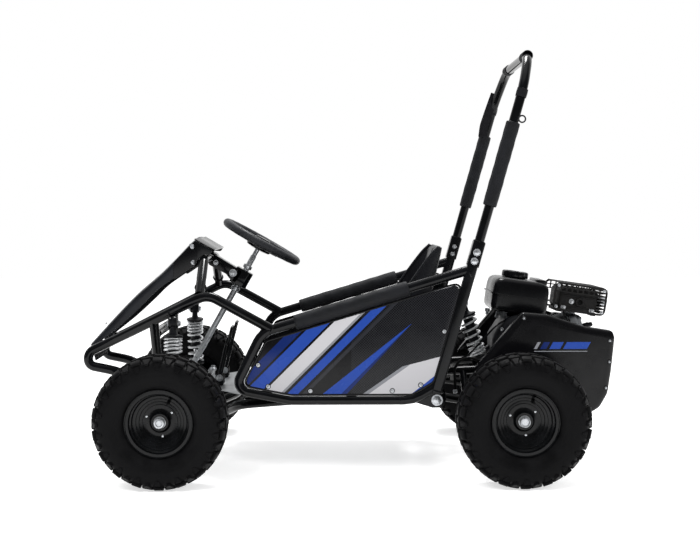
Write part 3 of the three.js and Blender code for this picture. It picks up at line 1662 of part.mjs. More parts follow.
// Fuel tank: two pressed halves that meet at a seam flange, with a filler neck
const tankFront = -108;
const tankRear = 44;
const tankLeft = -110;
const tankRight = 70;
const tankTop = 237;
const seamW = 192;
const seamWall = 3;
const seamReach = 4;
const tankCorner = 26;
const tankTopIn = 21;
const neckSize = 50;
const neckTop = 243;
const capU = -43;
const capV = (tankLeft + tankRight) / 2;
const capSize = 72;
const capGap = 0.5;
const capTop = 256;
const capBevel = 4;
const capNotch = 5;

function fuelTank() {
  const outline = [
    flat(tankFront, tankLeft),
    flat(tankRear, tankLeft),
    flat(tankRear, tankRight),
    flat(tankFront, tankRight),
  ];
  const layers = [
    [tankLow, tankCorner / 2],
    [seamW, 0],
    [tankTop - tankCorner / 2, seamReach],
    [tankTop, tankTopIn],
  ];
  const sections = layers.map(([, narrow]) => rounded(inset(outline, narrow), tankCorner));
  const body = loft(sections, (i, point) => at(point.x, point.y, layers[i][0]));
  const flange = rounded(inset(outline, -seamReach), tankCorner);
  const seam = sheet(flange, seamW - seamWall / 2, seamW + seamWall / 2);
  const neck = pinUpright(capU, capV, seamW, neckTop, neckSize, 16);
  return join(body, seam, neck);
}

function fuelCap() {
  const bore = neckSize / 2 + 3 * slack;
  const lip = neckTop - tankTop - 2 * capGap;
  const profile = [
    flat(0, neckTop + capGap),
    flat(bore, neckTop + capGap),
    flat(bore, neckTop - lip),
    flat(capSize / 2, neckTop - lip),
    flat(capSize / 2, capTop - capBevel),
    flat(capSize / 2 - capBevel, capTop),
    flat(0, capTop),
  ];
  const grips = 8;
  const cap = new THREE.LatheGeometry(profile, 16).rotateX(Math.PI / 2);
  const notches = [];
  for (let i = 0; i < grips; i += 1) {
    const angle = 2 * Math.PI * i / grips;
    const x = capSize / 2 * Math.cos(angle);
    const y = capSize / 2 * Math.sin(angle);
    notches.push(bar(at(x, y, tankTop), at(x, y, capTop + overrun), capNotch, 6));
  }
  return cut(cap, ...notches);
}

// Muffler: a box with pressed ribs, behind a louvred guard
const mufflerFront = 60;
const mufflerRear = 205;
const mufflerTop = 242;
const mufflerHalf = 82;
const guardReach = 4;
const guardWidth = 10;
const guardBars = 5;
const mufflerCorner = 20;
const guardCorner = 24;
const pipeSize = 24;
const pipeReach = 18;

function muffler() {
  const outline = [
    flat(mufflerFront, mufflerLow),
    flat(mufflerRear, mufflerLow),
    flat(mufflerRear, mufflerTop),
    flat(mufflerFront, mufflerTop),
  ];
  const pieces = [plate(rounded(outline, mufflerCorner), -mufflerHalf, mufflerHalf)];
  const step = (2 * mufflerHalf - guardWidth) / (guardBars - 1);
  const wide = rounded(inset(outline, -guardReach), guardCorner).map((point) => (
    flat(point.x, Math.max(point.y, mufflerLow))
  ));
  for (let i = 0; i < guardBars; i += 1) {
    const low = -mufflerHalf + i * step;
    pieces.push(plate(wide, low, low + guardWidth));
  }
  const middle = (mufflerLow + mufflerTop) / 2;
  const pipeRoot = at(mufflerRear - overrun, 0, middle);
  pieces.push(bar(pipeRoot, at(mufflerRear + pipeReach, 0, middle), pipeSize, 12));
  return join(...pieces);
}

// Recoil starter housing on the left of the engine, with flat top and foot
const recoilRadius = 85;
const recoilDepth = 50;
const recoilFoot = 1.5;
const recoilHead = 141;
const recoilStep = 12;
const recoilWallShare = 0.6;
const recoilRingShare = 0.8;
const recoilDome = 55;

function recoilHousing() {
  const out = caseHalf + slack;
  const profile = [
    [0, out],
    [recoilRadius, out],
    [recoilRadius, out + recoilDepth * recoilWallShare],
    [recoilRadius - recoilStep, out + recoilDepth * recoilRingShare],
    [recoilRadius - 2 * recoilStep, out + recoilDepth * recoilRingShare],
    [recoilDome, out + recoilDepth],
    [0, out + recoilDepth],
  ];
  const drum = turned(profile.map(([r, y]) => flat(r, -y)), 20).translate(crankU, 0, crankW);
  const wide = 2 * recoilRadius;
  const below = block(at(-wide, -wide, -wide), at(wide, 0, recoilFoot));
  const above = block(at(-wide, -wide, recoilHead), at(wide, 0, wide));
  return cut(drum, below, above);
}

// The T-shaped grip of the recoil rope, resting against its guide on the housing
const gripLength = 40;
const gripSize = 14;
const gripStem = 8.4;

function recoilHandle() {
  const y = -caseHalf - recoilDepth - 3 * slack - gripSize / 2;
  const z = recoilHead - 2 * recoilStep;
  return join(
    bar(at(crankU - gripLength / 2, y, z), at(crankU + gripLength / 2, y, z), gripSize, 10),
    bar(at(crankU, y, z), at(crankU, y + gripSize / 2 + slack, z), gripStem),
  );
}

// Air cleaner box on the right of the cylinder head
const cleanerFront = 96;
const cleanerRear = 168;
const cleanerOut = 118;
const cleanerLow = 66;
const cleanerTop = 152;
const cleanerStep = 5;

function airCleaner() {
  const outline = [
    flat(cleanerFront, cleanerLow),
    flat(cleanerRear, cleanerLow),
    flat(cleanerRear, cleanerTop),
    flat(cleanerFront, cleanerTop),
  ];
  const near = finHalf + slack;
  return join(
    plate(rounded(inset(outline, cleanerStep), 2 * cleanerStep), near, cleanerOut),
    plate(rounded(outline, 2 * cleanerStep), (near + cleanerOut) / 2, cleanerOut - cleanerStep),
  );
}

// Tail panels: shells on both sides of the engine, their faces outwards
const tailDepth = 30;
const tailRim = tailFace - tailDepth;
const tailBevel = 14;
const tailLead = 108;
const tailLength = 371.5;
const tailLowZ = 154;
const tailHeight = 264.5;
const tailShares = [
  [0, 0.412], [0.8304, 0], [0.899, 0.064], [0.953, 0.197], [0.977, 0.423],
  [1, 0.749], [0.985, 0.817], [0.79, 0.858], [0.52, 0.979], [0.35, 1],
];
const tailOutline = tailShares.map(([along, rise]) => (
  flat(wheelbase - tailLead + along * tailLength, tailLowZ + rise * tailHeight)
));

function tailPanel(side) {
  const build = (shrink, reach) => {
    const rows = [[tailRim - (tailFace - reach), 0], [reach - tailBevel / 2, 0], [reach, tailBevel]];
    const sections = rows.map(([, narrow]) => inset(tailOutline, narrow + shrink));
    return loft(sections, (i, point) => at(point.x, side * rows[i][0], point.y));
  };
  const outer = build(0, tailFace);
  const inner = build(tailWall, tailFace - tailWall);
  return cut(outer, inner);
}

// The whole kart
for (const [side, name] of sides) {
  add(`side_frame_${name}`, sideFrame(side), framePaint);
}
add('front_tower', frontTower(), framePaint);
add('floor_frame', floorFrame(), framePaint);
add('rear_frame', rearFrame(), framePaint);
add('floor_pan', floorPan(), sheetMetal);
add('seat', seatShell(), seatPlastic);
add('nose_panel', noseCowl(), cowlPlastic);
add('dash_frame', dashFrame(), framePaint);
add('roll_bar', rollBar(), framePaint);
add('pivot_bolt', pivotBoltPiece(), steel);
for (const [side, name] of sides) {
  add(`side_panel_${name}`, sidePanel(side), panelBlue);
  add(`rail_pad_${name}`, railPad(side), foam);
  add(`roll_pad_${name}`, rollPad(side), foam);
  add(`${side < 0 ? 'brake' : 'throttle'}_pedal`, pedal(side), framePaint);
}

for (const [end, x] of ends) {
  const bore = (end === 'front' ? spindleSize : axleSize) + 2 * axlePlay;
  for (const [side, name] of sides) {
    const wheel = group(x, side * wheelY, axleZ, 0, 0);
    add(`tyre_${end}_${name}`, tyre(), rubber, wheel);
    add(`rim_${end}_${name}`, rim(side, bore), rimPaint, wheel);
  }
}

for (const [side, name] of sides) {
  add(`front_arm_${name}`, frontArm(side), framePaint);
  add(`knuckle_${name}`, knuckle(side), framePaint);
  add(`tie_rod_${name}`, tieRod(side), steel);
  const top = at(frontEyeX, side * frontEyeHalf, frontEyeZ);
  const foot = at(frontEyeX, side * frontFootHalf, frontFootZ);
  const shock = shockGroup(top, foot);
  const length = top.distanceTo(foot);
  add(`front_shock_body_${name}`, shockTop(length, true), darkMetal, shock);
  add(`front_shock_rod_${name}`, shockFoot(length, true), steel, shock);
  add(`front_spring_${name}`, coilSpring(length, frontCurls, `front_spring_${name}`), springMetal, shock);
}

const column = group(columnX, 0, columnZ, 0, radians(columnTilt));
add('steering_column', columnShaft(), framePaint, column);
add('steering_wheel', steeringWheel(), rubber, column);

const rearTop = at(rearEyeX, 0, rearEyeZ);
const rearFoot = at(rearFootX, 0, rearFootZ);
const rearShock = shockGroup(rearTop, rearFoot);
const rearLength = rearTop.distanceTo(rearFoot);
add('rear_shock_body', shockTop(rearLength, false), darkMetal, rearShock);
add('rear_shock_rod', shockFoot(rearLength, false), steel, rearShock);
add('rear_spring', coilSpring(rearLength, rearCurls, 'rear_spring'), springMetal, rearShock);

add('swing_arm', swingArm(), framePaint);
add('rear_axle', rearAxle(), steel);
const axle = group(wheelbase, 0, axleZ, 0, 0);
add('sprocket', chainPlate(bigTeeth, axleSize + 2 * slack), steel, axle);
add('brake_disc', brakeDisc(), steel, axle);
add('brake_caliper', brakeCaliper(), darkMetal);
add('chain', chain(), darkMetal);

const engine = group(engineX, 0, engineZ, 0, radians(engineTilt));
add('engine', engineBody(), castMetal, engine);
add('fuel_tank', fuelTank(), blackPlastic, engine);
add('muffler', muffler(), darkMetal, engine);
add('recoil_housing', recoilHousing(), blackPlastic, engine);
add('recoil_handle', recoilHandle(), blackPlastic, engine);
add('air_cleaner', airCleaner(), blackPlastic, engine);
add('clutch', clutch(), steel, group(crankU, 0, crankW, 0, 0, engine));
add('fuel_cap', fuelCap(), blackPlastic, group(capU, capV, 0, 0, 0, engine));
for (const [side, name] of sides) add(`tail_panel_${name}`, tailPanel(side), blackPlastic);

kart.position.x = -frameMiddle;

export default kart;
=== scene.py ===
"""Looks of an off road go kart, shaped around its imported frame. Shapes are worked out in millimetres, with X counted
from the front axle and Z from the ground, and are put into the frame's own metres when a piece is made."""

import math

import bmesh
import bpy
import numpy as np
from bpy.props import FloatProperty, FloatVectorProperty, IntProperty, PointerProperty
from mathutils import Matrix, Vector


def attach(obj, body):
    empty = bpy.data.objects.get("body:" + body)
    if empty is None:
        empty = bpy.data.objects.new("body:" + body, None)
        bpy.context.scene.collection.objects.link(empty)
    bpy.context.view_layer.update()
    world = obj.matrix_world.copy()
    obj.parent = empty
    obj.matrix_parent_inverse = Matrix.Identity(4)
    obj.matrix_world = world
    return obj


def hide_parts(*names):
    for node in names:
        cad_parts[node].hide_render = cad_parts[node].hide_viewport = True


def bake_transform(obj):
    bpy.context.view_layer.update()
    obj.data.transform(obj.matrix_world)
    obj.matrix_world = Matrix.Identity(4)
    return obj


bl_info = {
    "name": "Off road go kart",
    "version": (1, 0, 0),
    "blender": (4, 5, 0),
    "location": "3D View > Sidebar > Go kart",
    "description": "Finishes the packed frame of an off road go kart",
    "category": "Object",
}

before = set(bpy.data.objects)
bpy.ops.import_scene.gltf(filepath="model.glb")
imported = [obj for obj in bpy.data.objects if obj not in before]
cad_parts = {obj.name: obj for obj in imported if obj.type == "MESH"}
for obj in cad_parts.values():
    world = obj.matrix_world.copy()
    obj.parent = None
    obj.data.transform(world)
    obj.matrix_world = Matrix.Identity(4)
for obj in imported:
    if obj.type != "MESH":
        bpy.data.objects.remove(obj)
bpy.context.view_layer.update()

# Places in millimetres, and angles in degrees. A side is -1 on the left.
FRAME_MIDDLE = 472.2  # the frame's zero, behind the front axle
SIDES = ((-1, "left"), (1, "right"))
REAR_X = 893.0
ENDS = (("front", 0.0), ("rear", REAR_X))
AXLE_Z = 165.0
WHEEL_Y = 375.0
NUT_Y = 397.2
RAIL_Y = 270.0
KEEL_Y, KEEL_Z = 68, 143
FLOOR_Z = 199
ARM_X, ARM_Y = 76, 100  # ends of the front arms' pivots
KINGPIN_Y = 315
PIVOT_X, PIVOT_Z = 690, 197
SWING_Y, CARRIER_Y = 185, 105  # tubes of the swing arm, and those that carry the engine
AXLE_BEARINGS = (128, 160)
RUNNER_Y = 112
PEDAL_X, PEDAL_Y, PEDAL_Z = 118, 78, 232
DASH_X, DASH_Z = 84, 552
CRANK = (939.67, 0, 318.96)
CHAIN_Y, DISC_Y = 140, -146
CHAIN_PITCH = 12.7
AXLE_TEETH, DRUM_TEETH = 36, 10
LEAN = math.tan(math.radians(15.7))  # of the uprights and the roll bar
COLUMN_TILT = 29.5
ENGINE_TILT = 8.0
CYLINDER_TILT = -25

# Each spring with the upper and lower eye of its damper, the damper's two bodies and its two nodes.
DAMPERS = (
    ("front_spring_left", (14, -240, 393), (14, -262, 203), "damper_{}_left", "front_shock_{}_left"),
    ("front_spring_right", (14, 240, 393), (14, 262, 203), "damper_{}_right", "front_shock_{}_right"),
    ("rear_spring", (787, 0, 426), (838, 0, 252), "rear_damper_{}", "rear_shock_{}"),
)
SPRING_TOP, SPRING_FOOT = 35, 29  # from the eyes to the spring's seats

STRAIGHT = 1.57  # half of a corner's angle in radians, from which it isn't rounded
DULL_SHINE = 0.2  # specular level of what isn't metal
DRIFT = {"From Min": 0.35, "From Max": 0.65}  # the part of a noise that is spread over a range
BLACK_FILM = "#0b0b0d"


# Colours and materials

def linear(code):
    """The linear colour of an sRGB hex code, opaque. A colour that is linear already is kept."""
    if not isinstance(code, str):
        return tuple(code)
    parts = np.array([int(code[i:i + 2], 16) for i in (1, 3, 5)]) / 255
    return (*np.where(parts <= 0.04045, parts / 12.92, ((parts + 0.055) / 1.055) ** 2.4).tolist(), 1.0)


def node(tree, kind, inputs=None, **settings):
    """Adds a shader node with its settings. Its inputs are linked where a socket is given, and set otherwise."""
    made = tree.nodes.new("ShaderNode" + kind)
    for name, value in settings.items():
        setattr(made, name, value)
    for name, value in (inputs or {}).items():
        if isinstance(value, bpy.types.NodeSocket):
            tree.links.new(value, made.inputs[name])
        else:
            made.inputs[name].default_value = value
    return made


def maths(tree, operation, first, second):
    """The result of one operation on two values."""
    return node(tree, "Math", {0: first, 1: second}, operation=operation).outputs[0]


def blank(name):
    """A new material with its tree, its shader and the place on the object."""
    made = bpy.data.materials.new(name)
    assert made.name == name, name
    made.use_nodes = True
    tree = made.node_tree
    return made, tree, tree.nodes["Principled BSDF"], node(tree, "TexCoord").outputs["Object"]


def finish(name, colours, shine, patch, grain, height, **constants):
    """A finish whose colour and roughness drift between two values over patches, on a surface with a fine grain.
    patch, grain and height are in millimetres."""
    _, tree, skin, place = blank(name)
    drift = node(tree, "TexNoise", {"Vector": place, "Scale": 1000 / patch, "Detail": 5.0}).outputs["Fac"]
    fine = node(tree, "TexNoise", {"Vector": place, "Scale": 1000 / grain, "Detail": 2.0}).outputs["Fac"]
    spread = node(tree, "MapRange", {"Value": drift, **DRIFT}).outputs[0]
    tint = node(tree, "Mix", {"Factor": spread, "A": linear(colours[0]), "B": linear(colours[1])}, data_type="RGBA")
    rough = node(tree, "MapRange", {"Value": spread, "To Min": shine[0], "To Max": shine[1]})
    bump = node(tree, "Bump", {"Height": fine, "Distance": height / 1000, "Strength": 1.0})
    tree.links.new(tint.outputs["Result"], skin.inputs["Base Color"])
    tree.links.new(rough.outputs[0], skin.inputs["Roughness"])
    tree.links.new(bump.outputs[0], skin.inputs["Normal"])
    if "Metallic" not in constants:
        skin.inputs["Specular IOR Level"].default_value = DULL_SHINE
    for socket, value in constants.items():
        skin.inputs[socket.replace("_", " ")].default_value = value


# Shapes: each is a set of points with its faces

def grid(points, wrap=False, caps=True):
    """Faces between the rows of a grid of points whose rows are closed. The rows wrap, or the ends get caps."""
    rows, columns = points.shape[:2]
    u = np.arange(rows if wrap else rows - 1)[:, None]
    v = np.arange(columns)
    after, beside = (u + 1) % rows, (v + 1) % columns
    corners = [u * columns + v, u * columns + beside, after * columns + beside, after * columns + v]
    faces = np.stack([np.broadcast_to(c, (len(u), columns)).ravel() for c in corners], 1).tolist()
    if caps and not wrap:
        faces += [list(range(columns))[::-1], list(range((rows - 1) * columns, rows * columns))]
    return points.reshape(-1, 3), faces


def joined(forms):
    """Several forms as one."""
    points, faces, start = [], [], 0
    for form_points, form_faces in forms:
        points.append(form_points)
        faces += [[start + k for k in face] for face in form_faces]
        start += len(form_points)
    return np.concatenate(points), faces


def unit(vectors):
    return vectors / np.linalg.norm(vectors, axis=-1, keepdims=True)


def bent(corners, bend, step=9.0):
    """Straight runs between corners, each inner corner replaced by an arc of its bend radius, in steps of degrees."""
    corners = np.array(corners, float)
    bends = bend if hasattr(bend, "__len__") else [bend] * len(corners)
    path = [corners[:1]]
    for i in range(1, len(corners) - 1):
        before, after = unit(corners[i] - corners[i - 1]), unit(corners[i + 1] - corners[i])
        turn = math.acos(np.clip(before @ after, -1, 1))
        legs = [np.linalg.norm(corners[i] - corners[k]) for k in (i - 1, i + 1)]
        reach = min(bends[i] * math.tan(turn / 2), 0.48 * min(legs))
        radius = reach / math.tan(turn / 2)
        inward = unit(after - before * math.cos(turn))
        angle = np.linspace(0, turn, max(3, round(math.degrees(turn) / step)))[:, None]
        arc = corners[i] - before * reach + before * radius * np.sin(angle) + inward * radius * (1 - np.cos(angle))
        path.append(arc)
    return np.concatenate([*path, corners[-1:]])


def ring(count, size=2.0, across=None):
    """A circle, or an ellipse, of a size across, as points in a plane."""
    angle = 2 * np.pi * np.arange(count) / count
    return np.stack([np.cos(angle) * size / 2, np.sin(angle) * (across or size) / 2], 1)


def carried(profile, path, wrap=False, caps=True, lean=None):
    """A profile, or one for each station, carried square to a path. Its second axis stays nearest to lean."""
    path = np.asarray(path, float)
    heading = unit(np.roll(path, -1, 0) - np.roll(path, 1, 0)) if wrap else unit(np.gradient(path, axis=0))
    if lean is None:
        lean = np.eye(3)[np.argmin(np.abs(heading).max(0))]
    side = unit(np.cross(heading, lean))
    rise = np.cross(side, heading)
    profile = np.broadcast_to(np.asarray(profile, float), (len(path), *np.shape(profile)[-2:]))
    return grid(path[:, None] + profile[..., :1] * side[:, None] + profile[..., 1:] * rise[:, None], wrap, caps)


def tube(corners, size, bend=0.0, sides=24, wrap=False):
    """A round tube along a bent path."""
    return carried(ring(sides, size), bent(corners, bend), wrap)


def lathe(profile, centre, axis, sides=48, wrap=False):
    """A profile of radius and height turned about an axis through a centre. Ends at radius zero close to a point."""
    axis = unit(np.array(axis, float))
    first = unit(np.cross(axis, np.eye(3)[np.argmin(np.abs(axis))]))
    second = np.cross(axis, first)
    angle = 2 * np.pi * (np.arange(sides) + 0.5) / sides
    out = np.cos(angle)[:, None] * first + np.sin(angle)[:, None] * second
    profile = np.array(profile, float)
    points = np.array(centre, float) + profile[:, :1, None] * out + profile[:, 1:, None] * axis
    return grid(points, wrap)


def collar(bore, face, outer, straight, half):
    """Profile of a ring, to be turned: its bore, the size of its end faces, and its outside, which is straight
    between bevels."""
    return [(bore, -half), (face, -half), (outer, -straight), (outer, straight), (face, half), (bore, half)]


def rounded(outline, radius, steps=5):
    """An outline with each corner replaced by a quadratic curve that starts a radius' reach before it."""
    outline = np.array(outline, float)
    radii = radius if hasattr(radius, "__len__") else [radius] * len(outline)
    share = np.linspace(0, 1, steps)[:, None]
    curves = []
    for i, corner in enumerate(outline):
        before, after = outline[i - 1] - corner, outline[(i + 1) % len(outline)] - corner
        half = math.acos(np.clip(unit(before) @ unit(after), -1, 1)) / 2
        if half > STRAIGHT:
            curves.append(corner[None])
            continue
        lengths = np.linalg.norm(before), np.linalg.norm(after)
        reach = min(radii[i] / math.tan(half), 0.45 * min(lengths))
        start, end = corner + unit(before) * reach, corner + unit(after) * reach
        curves.append((1 - share) ** 2 * start + 2 * share * (1 - share) * corner + share ** 2 * end)
    return np.concatenate(curves)


def rect(left, low, right, high, radius, steps=5):
    """The outline of a rectangle with rounded corners."""
    return rounded([(left, low), (right, low), (right, high), (left, high)], radius, steps)


def inset(outline, distance):
    """A counterclockwise outline moved inwards by a distance."""
    outline = np.array(outline, float)
    before, after = unit(outline - np.roll(outline, 1, 0)), unit(np.roll(outline, -1, 0) - outline)
    inward = np.stack([-before[:, 1] - after[:, 1], before[:, 0] + after[:, 0]], 1)
    return outline + inward * 2 * distance / (inward ** 2).sum(1, keepdims=True)


def slab(outline, low, high, edge=0.8, up=1):
    """A plate with rounded edges between two heights of one axis: rows of the outline, drawn in along a quarter
    circle at both faces. up is the axis: 0, 1 or 2."""
    outline = np.array(outline, float)
    low, high = min(low, high), max(low, high)
    edge = min(edge, (high - low) / 2.01)
    angle = np.radians([0, 30, 60, 90])
    rows = [(edge * (1 - math.sin(a)), low + edge * (1 - math.cos(a))) for a in angle]
    rows += [(edge * (1 - math.sin(a)), high - edge * (1 - math.cos(a))) for a in angle[::-1]]
    rows = [np.insert(inset(outline, drawn), up, height, axis=1) for drawn, height in rows]
    return grid(np.array(rows))


def block(low, high, corner=3.0, edge=0.8, up=2):
    """A box between two corners with rounded corners in one plane and rounded edges in the others."""
    low, high = np.minimum(low, high), np.maximum(low, high)
    a, b = [k for k in range(3) if k != up]
    return slab(rect(low[a], low[b], high[a], high[b], corner, 4), low[up], high[up], edge, up)


def turned(form, degrees, origin, about=(0, 1, 0)):
    """A form turned about an axis through the frame's zero and then moved to an origin."""
    x, y, z = about
    c, s = math.cos(math.radians(degrees)), math.sin(math.radians(degrees))
    cross = np.array([[0, -z, y], [z, 0, -x], [-y, x, 0]])
    matrix = c * np.eye(3) + s * cross + (1 - c) * np.outer(about, about)
    return form[0] @ matrix.T + np.array(origin, float), form[1]


def aimed(form, origin, heading, roll=(0, 1, 0)):
    """A form whose Z is laid along a heading, with its Y kept nearest to roll, moved to an origin."""
    up = unit(np.array(heading, float))
    side = unit(np.cross(roll, up))
    matrix = np.stack([side, np.cross(up, side), up], 1)
    return form[0] @ matrix.T + np.array(origin, float), form[1]


def bolt(centre, axis, size=8.0, washer=True):
    """A hex bolt head with its chamfer, on a washer: both are turned profiles, the head with six sides."""
    across = size * 0.9
    head = [(0, size * 0.66), (across * 0.72, size * 0.66), (across, size * 0.5), (across, 0), (0, 0)]
    lift = np.array(centre, float) + unit(np.array(axis, float)) * (size * 0.16 if washer else 0)
    forms = [lathe(head, lift, axis, 6)]
    if washer:
        flat = [(0, size * 0.16), (size * 1.15, size * 0.16), (size * 1.2, size * 0.1), (size * 1.2, -0.4), (0, -0.4)]
        forms.append(lathe(flat, centre, axis, 20))
    return forms


def button(centre, axis, size=5.0):
    """A domed screw head on a washer, with a cross recess drawn as a shallow dimple."""
    dome = [(0, size * 0.42), (size * 0.3, size * 0.42), (size * 0.36, size * 0.58), (size * 0.7, size * 0.45),
            (size * 0.95, size * 0.12), (size * 1.35, size * 0.1), (size * 1.4, -0.3), (0, -0.3)]
    return [lathe(dome, centre, axis, 20)]


def weld(centre, axis, radius, bead=2.6):
    """A weld bead: a ring around a joint whose section swells and shrinks with every ripple."""
    angle = 2 * np.pi * np.arange(72) / 72
    axis = unit(np.array(axis, float))
    first = unit(np.cross(axis, np.eye(3)[np.argmin(np.abs(axis))]))
    path = np.array(centre, float) + radius * (
        np.cos(angle)[:, None] * first + np.sin(angle)[:, None] * np.cross(axis, first))
    swell = (1 + 0.22 * np.abs(np.sin(9 * angle)))[:, None, None]
    return carried(ring(6, 2 * bead) * swell, path, wrap=True, lean=axis)


def in_frame(points):
    """Points of the kart, in the frame's own metres."""
    return (np.asarray(points, float) - (FRAME_MIDDLE, 0, 0)) / 1000


def piece(name, parts, body, replaces=(), sharp=38.0):
    """Makes one object of the forms of each material: doubled points merged, faces turned outwards, and shading
    smooth up to an angle. It rides on a body given by name; given two bodies with the places where it starts and
    ends, it stays fixed where it is made. It may stand for nodes of the frame."""
    points, faces = joined([form for forms in parts.values() for form in forms])
    numbers = [number for number, forms in enumerate(parts.values()) for form in forms for _ in form[1]]
    mesh = bpy.data.meshes.new(name)
    mesh.from_pydata(in_frame(points).tolist(), [], faces)
    mesh.polygons.foreach_set("material_index", numbers)
    solid = bmesh.new()
    solid.from_mesh(mesh)
    bmesh.ops.remove_doubles(solid, verts=solid.verts, dist=2e-6)
    bmesh.ops.recalc_face_normals(solid, faces=solid.faces)
    solid.to_mesh(mesh)
    solid.free()
    mesh.polygons.foreach_set("use_smooth", [True] * len(mesh.polygons))
    mesh.set_sharp_from_angle(angle=math.radians(sharp))
    for material in parts:
        mesh.materials.append(bpy.data.materials[material])
    made = bpy.data.objects.new(name, mesh)
    bpy.context.scene.collection.objects.link(made)
    if isinstance(body, str):
        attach(made, body)
    else:
        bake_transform(made)
    if replaces:
        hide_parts(*replaces)
    return made


# Places that several pieces share

def upright_x(z):
    """X of the leaning upright at a height."""
    return 686 + (z - 214) * LEAN


def on_upright(y, z):
    """Place on the plane of the leaning uprights and the roll bar."""
    return upright_x(z), y, z


HOOP_REAR = (upright_x(533), 533.0)


def hoop_z(x):
    """Height of the top tube of the side hoop."""
    return 372 + (x - 243) / (HOOP_REAR[0] - 243) * (HOOP_REAR[1] - 372)


def rail_at(x):
    """Place on the front rail between its shoulder and the nose, half the width and height."""
    share = (55 - x) / 225
    return 270 - share * 151, 446 - share * 113


def column_at(rise, forward=0.0):
    """Place on the axis of the steering column, by the distance up it, and by the distance square to it."""
    tilt = math.radians(COLUMN_TILT)
    return np.array([42 + rise * math.sin(tilt) + forward * math.cos(tilt), 0,
                     269 + rise * math.cos(tilt) - forward * math.sin(tilt)])


def on_engine(*forms):
    """Forms from the frame of the leaning engine, put in their places."""
    return [turned(form, ENGINE_TILT, (935, 0, 257)) for form in forms]


def wheel_body(end, name):
    """The body that a wheel rides on."""
    return "live_axle" if end == "rear" else f"wheel_{name}"


def eased(stations, count):
    """A table of stations passed through by a Catmull-Rom curve, with count rows for each step of the table."""
    ends = np.concatenate([[2 * stations[0] - stations[1]], stations, [2 * stations[-1] - stations[-2]]])
    rows = []
    for i in range(len(stations) - 1):
        a, b, c, d = ends[i:i + 4]
        t = np.arange(count)[:, None] / count
        rows.append(0.5 * (2 * b + (c - a) * t + (2 * a - 5 * b + 4 * c - d) * t ** 2
                           + (3 * b - a - 3 * c + d) * t ** 3))
    return np.concatenate([*rows, stations[-1:]])


def channel_row(half, depth, corner, crown, wall):
    """Section of a bowed shell: an outer row down one skirt, over the crown and down the other, and the same row
    drawn in by the wall on its way back."""
    turn = np.radians(np.linspace(0, 90, 7))
    rows = []
    for inner in (0, wall):
        out = half - corner + (corner - inner) * np.cos(turn)
        drop = -corner + (corner - inner) * np.sin(turn)
        right = np.stack([out, drop], 1)
        top = np.linspace(half - corner, 0, 4)[1:-1]
        rise = np.stack([top, crown * (1 - (top / (half - corner)) ** 2) - inner], 1)
        right = np.concatenate([[(half - inner, -depth)], right, rise])
        whole = np.concatenate([right, [(0, crown - inner)], (right * (-1, 1))[::-1]])
        rows.append(whole if inner == 0 else whole[::-1])
    return np.concatenate(rows)


def pierced_plate(outline, slots, low, high):
    """A plate in X and Y with long holes. Rows run from the outline to the holes' rims: the plate is cut in half
    along Y = 0, and each half is a band of faces between its outline and its hole, both faces and both walls."""
    outline, detail = rounded(outline, 6, 4), 40
    forms = []
    for x, y, across, stretch in slots:
        side = math.copysign(1, y)
        part = np.array([(px, py) for px, py in outline if py * side > 0.5], float)
        ends = np.array([(outline[:, 0].max(), 0), (outline[:, 0].min(), 0)])
        loop = np.concatenate([part, ends])
        loop = loop[np.argsort(np.arctan2(loop[:, 1] - y, loop[:, 0] - x))]
        angle = np.linspace(-np.pi, np.pi, detail, endpoint=False) + np.pi / detail
        heading = np.stack([np.cos(angle), np.sin(angle)], 1)
        edge = []
        for direction in heading:
            reach = np.inf
            for a, b in zip(loop, np.roll(loop, -1, 0)):
                run = b - a
                bottom = direction[0] * run[1] - direction[1] * run[0]
                if abs(bottom) < 1e-9:
                    continue
                t = ((a[0] - x) * run[1] - (a[1] - y) * run[0]) / bottom
                u = ((a[0] - x) * direction[1] - (a[1] - y) * direction[0]) / bottom
                if t > 0 and -1e-6 <= u <= 1 + 1e-6:
                    reach = min(reach, t)
            edge.append(np.array((x, y)) + direction * reach)
        hole = np.array((x, y)) + heading * across / 2 + np.where(heading[:, :1] > 0, (stretch, 0), (0, 0))
        rows = [np.insert(np.array(edge), 2, low, 1), np.insert(hole, 2, low, 1), np.insert(hole, 2, high, 1),
                np.insert(np.array(edge), 2, high, 1)]
        forms.append(grid(np.array(rows), wrap=True))
    return joined(forms)


def annulus(outer, inner, low, high, up=1):
    """A flat ring between an outline and an inner one with as many points, between two heights of one axis."""
    bevel = 0.4
    outer, inner = np.array(outer, float), np.array(inner, float)
    middle = (outer.mean(0) + inner.mean(0)) / 2
    small, large = outer - unit(outer - middle) * bevel, inner + unit(inner - middle) * bevel
    rows = [(small, low), (outer, low + bevel), (outer, high - bevel), (small, high), (large, high),
            (inner, high - bevel), (inner, low + bevel), (large, low)]
    return grid(np.array([np.insert(row, up, height, axis=1) for row, height in rows]), wrap=True)


def moved(form, place):
    """A form moved by a vector."""
    return form[0] + np.array(place, float), form[1]


def grid_plate(start, half):
    """The perforated plate under the cowl's foot: bars along and across a plate that leans back."""
    x, z = start
    lean = np.array([0.25, 0, -1.0])
    low = np.array([x + 4, 0, z - 6])
    strip = rect(-1.2, -1.2, 1.2, 1.2, 0.6, 3)
    bars = [carried(strip, [low + lean * rise + (0, -half, 0), low + lean * rise + (0, half, 0)]) for rise in
            range(0, 40, 6)]
    bars += [carried(strip, [low + (0, y, 0), low + lean * 36 + (0, y, 0)]) for y in np.linspace(-half, half, 24)]
    return joined(bars)


PANEL = inset([(172, 227), (315, FLOOR_Z), (628, FLOOR_Z), (upright_x(236), 236), (HOOP_REAR[0], 524), (243, 363)],
              17)
SCREWED_SIDES = (0, 1, 2, 3, 5)

LENGTH = {"unit": "LENGTH", "subtype": "DISTANCE"}
COLOUR = {"size": 4, "subtype": "COLOR"}


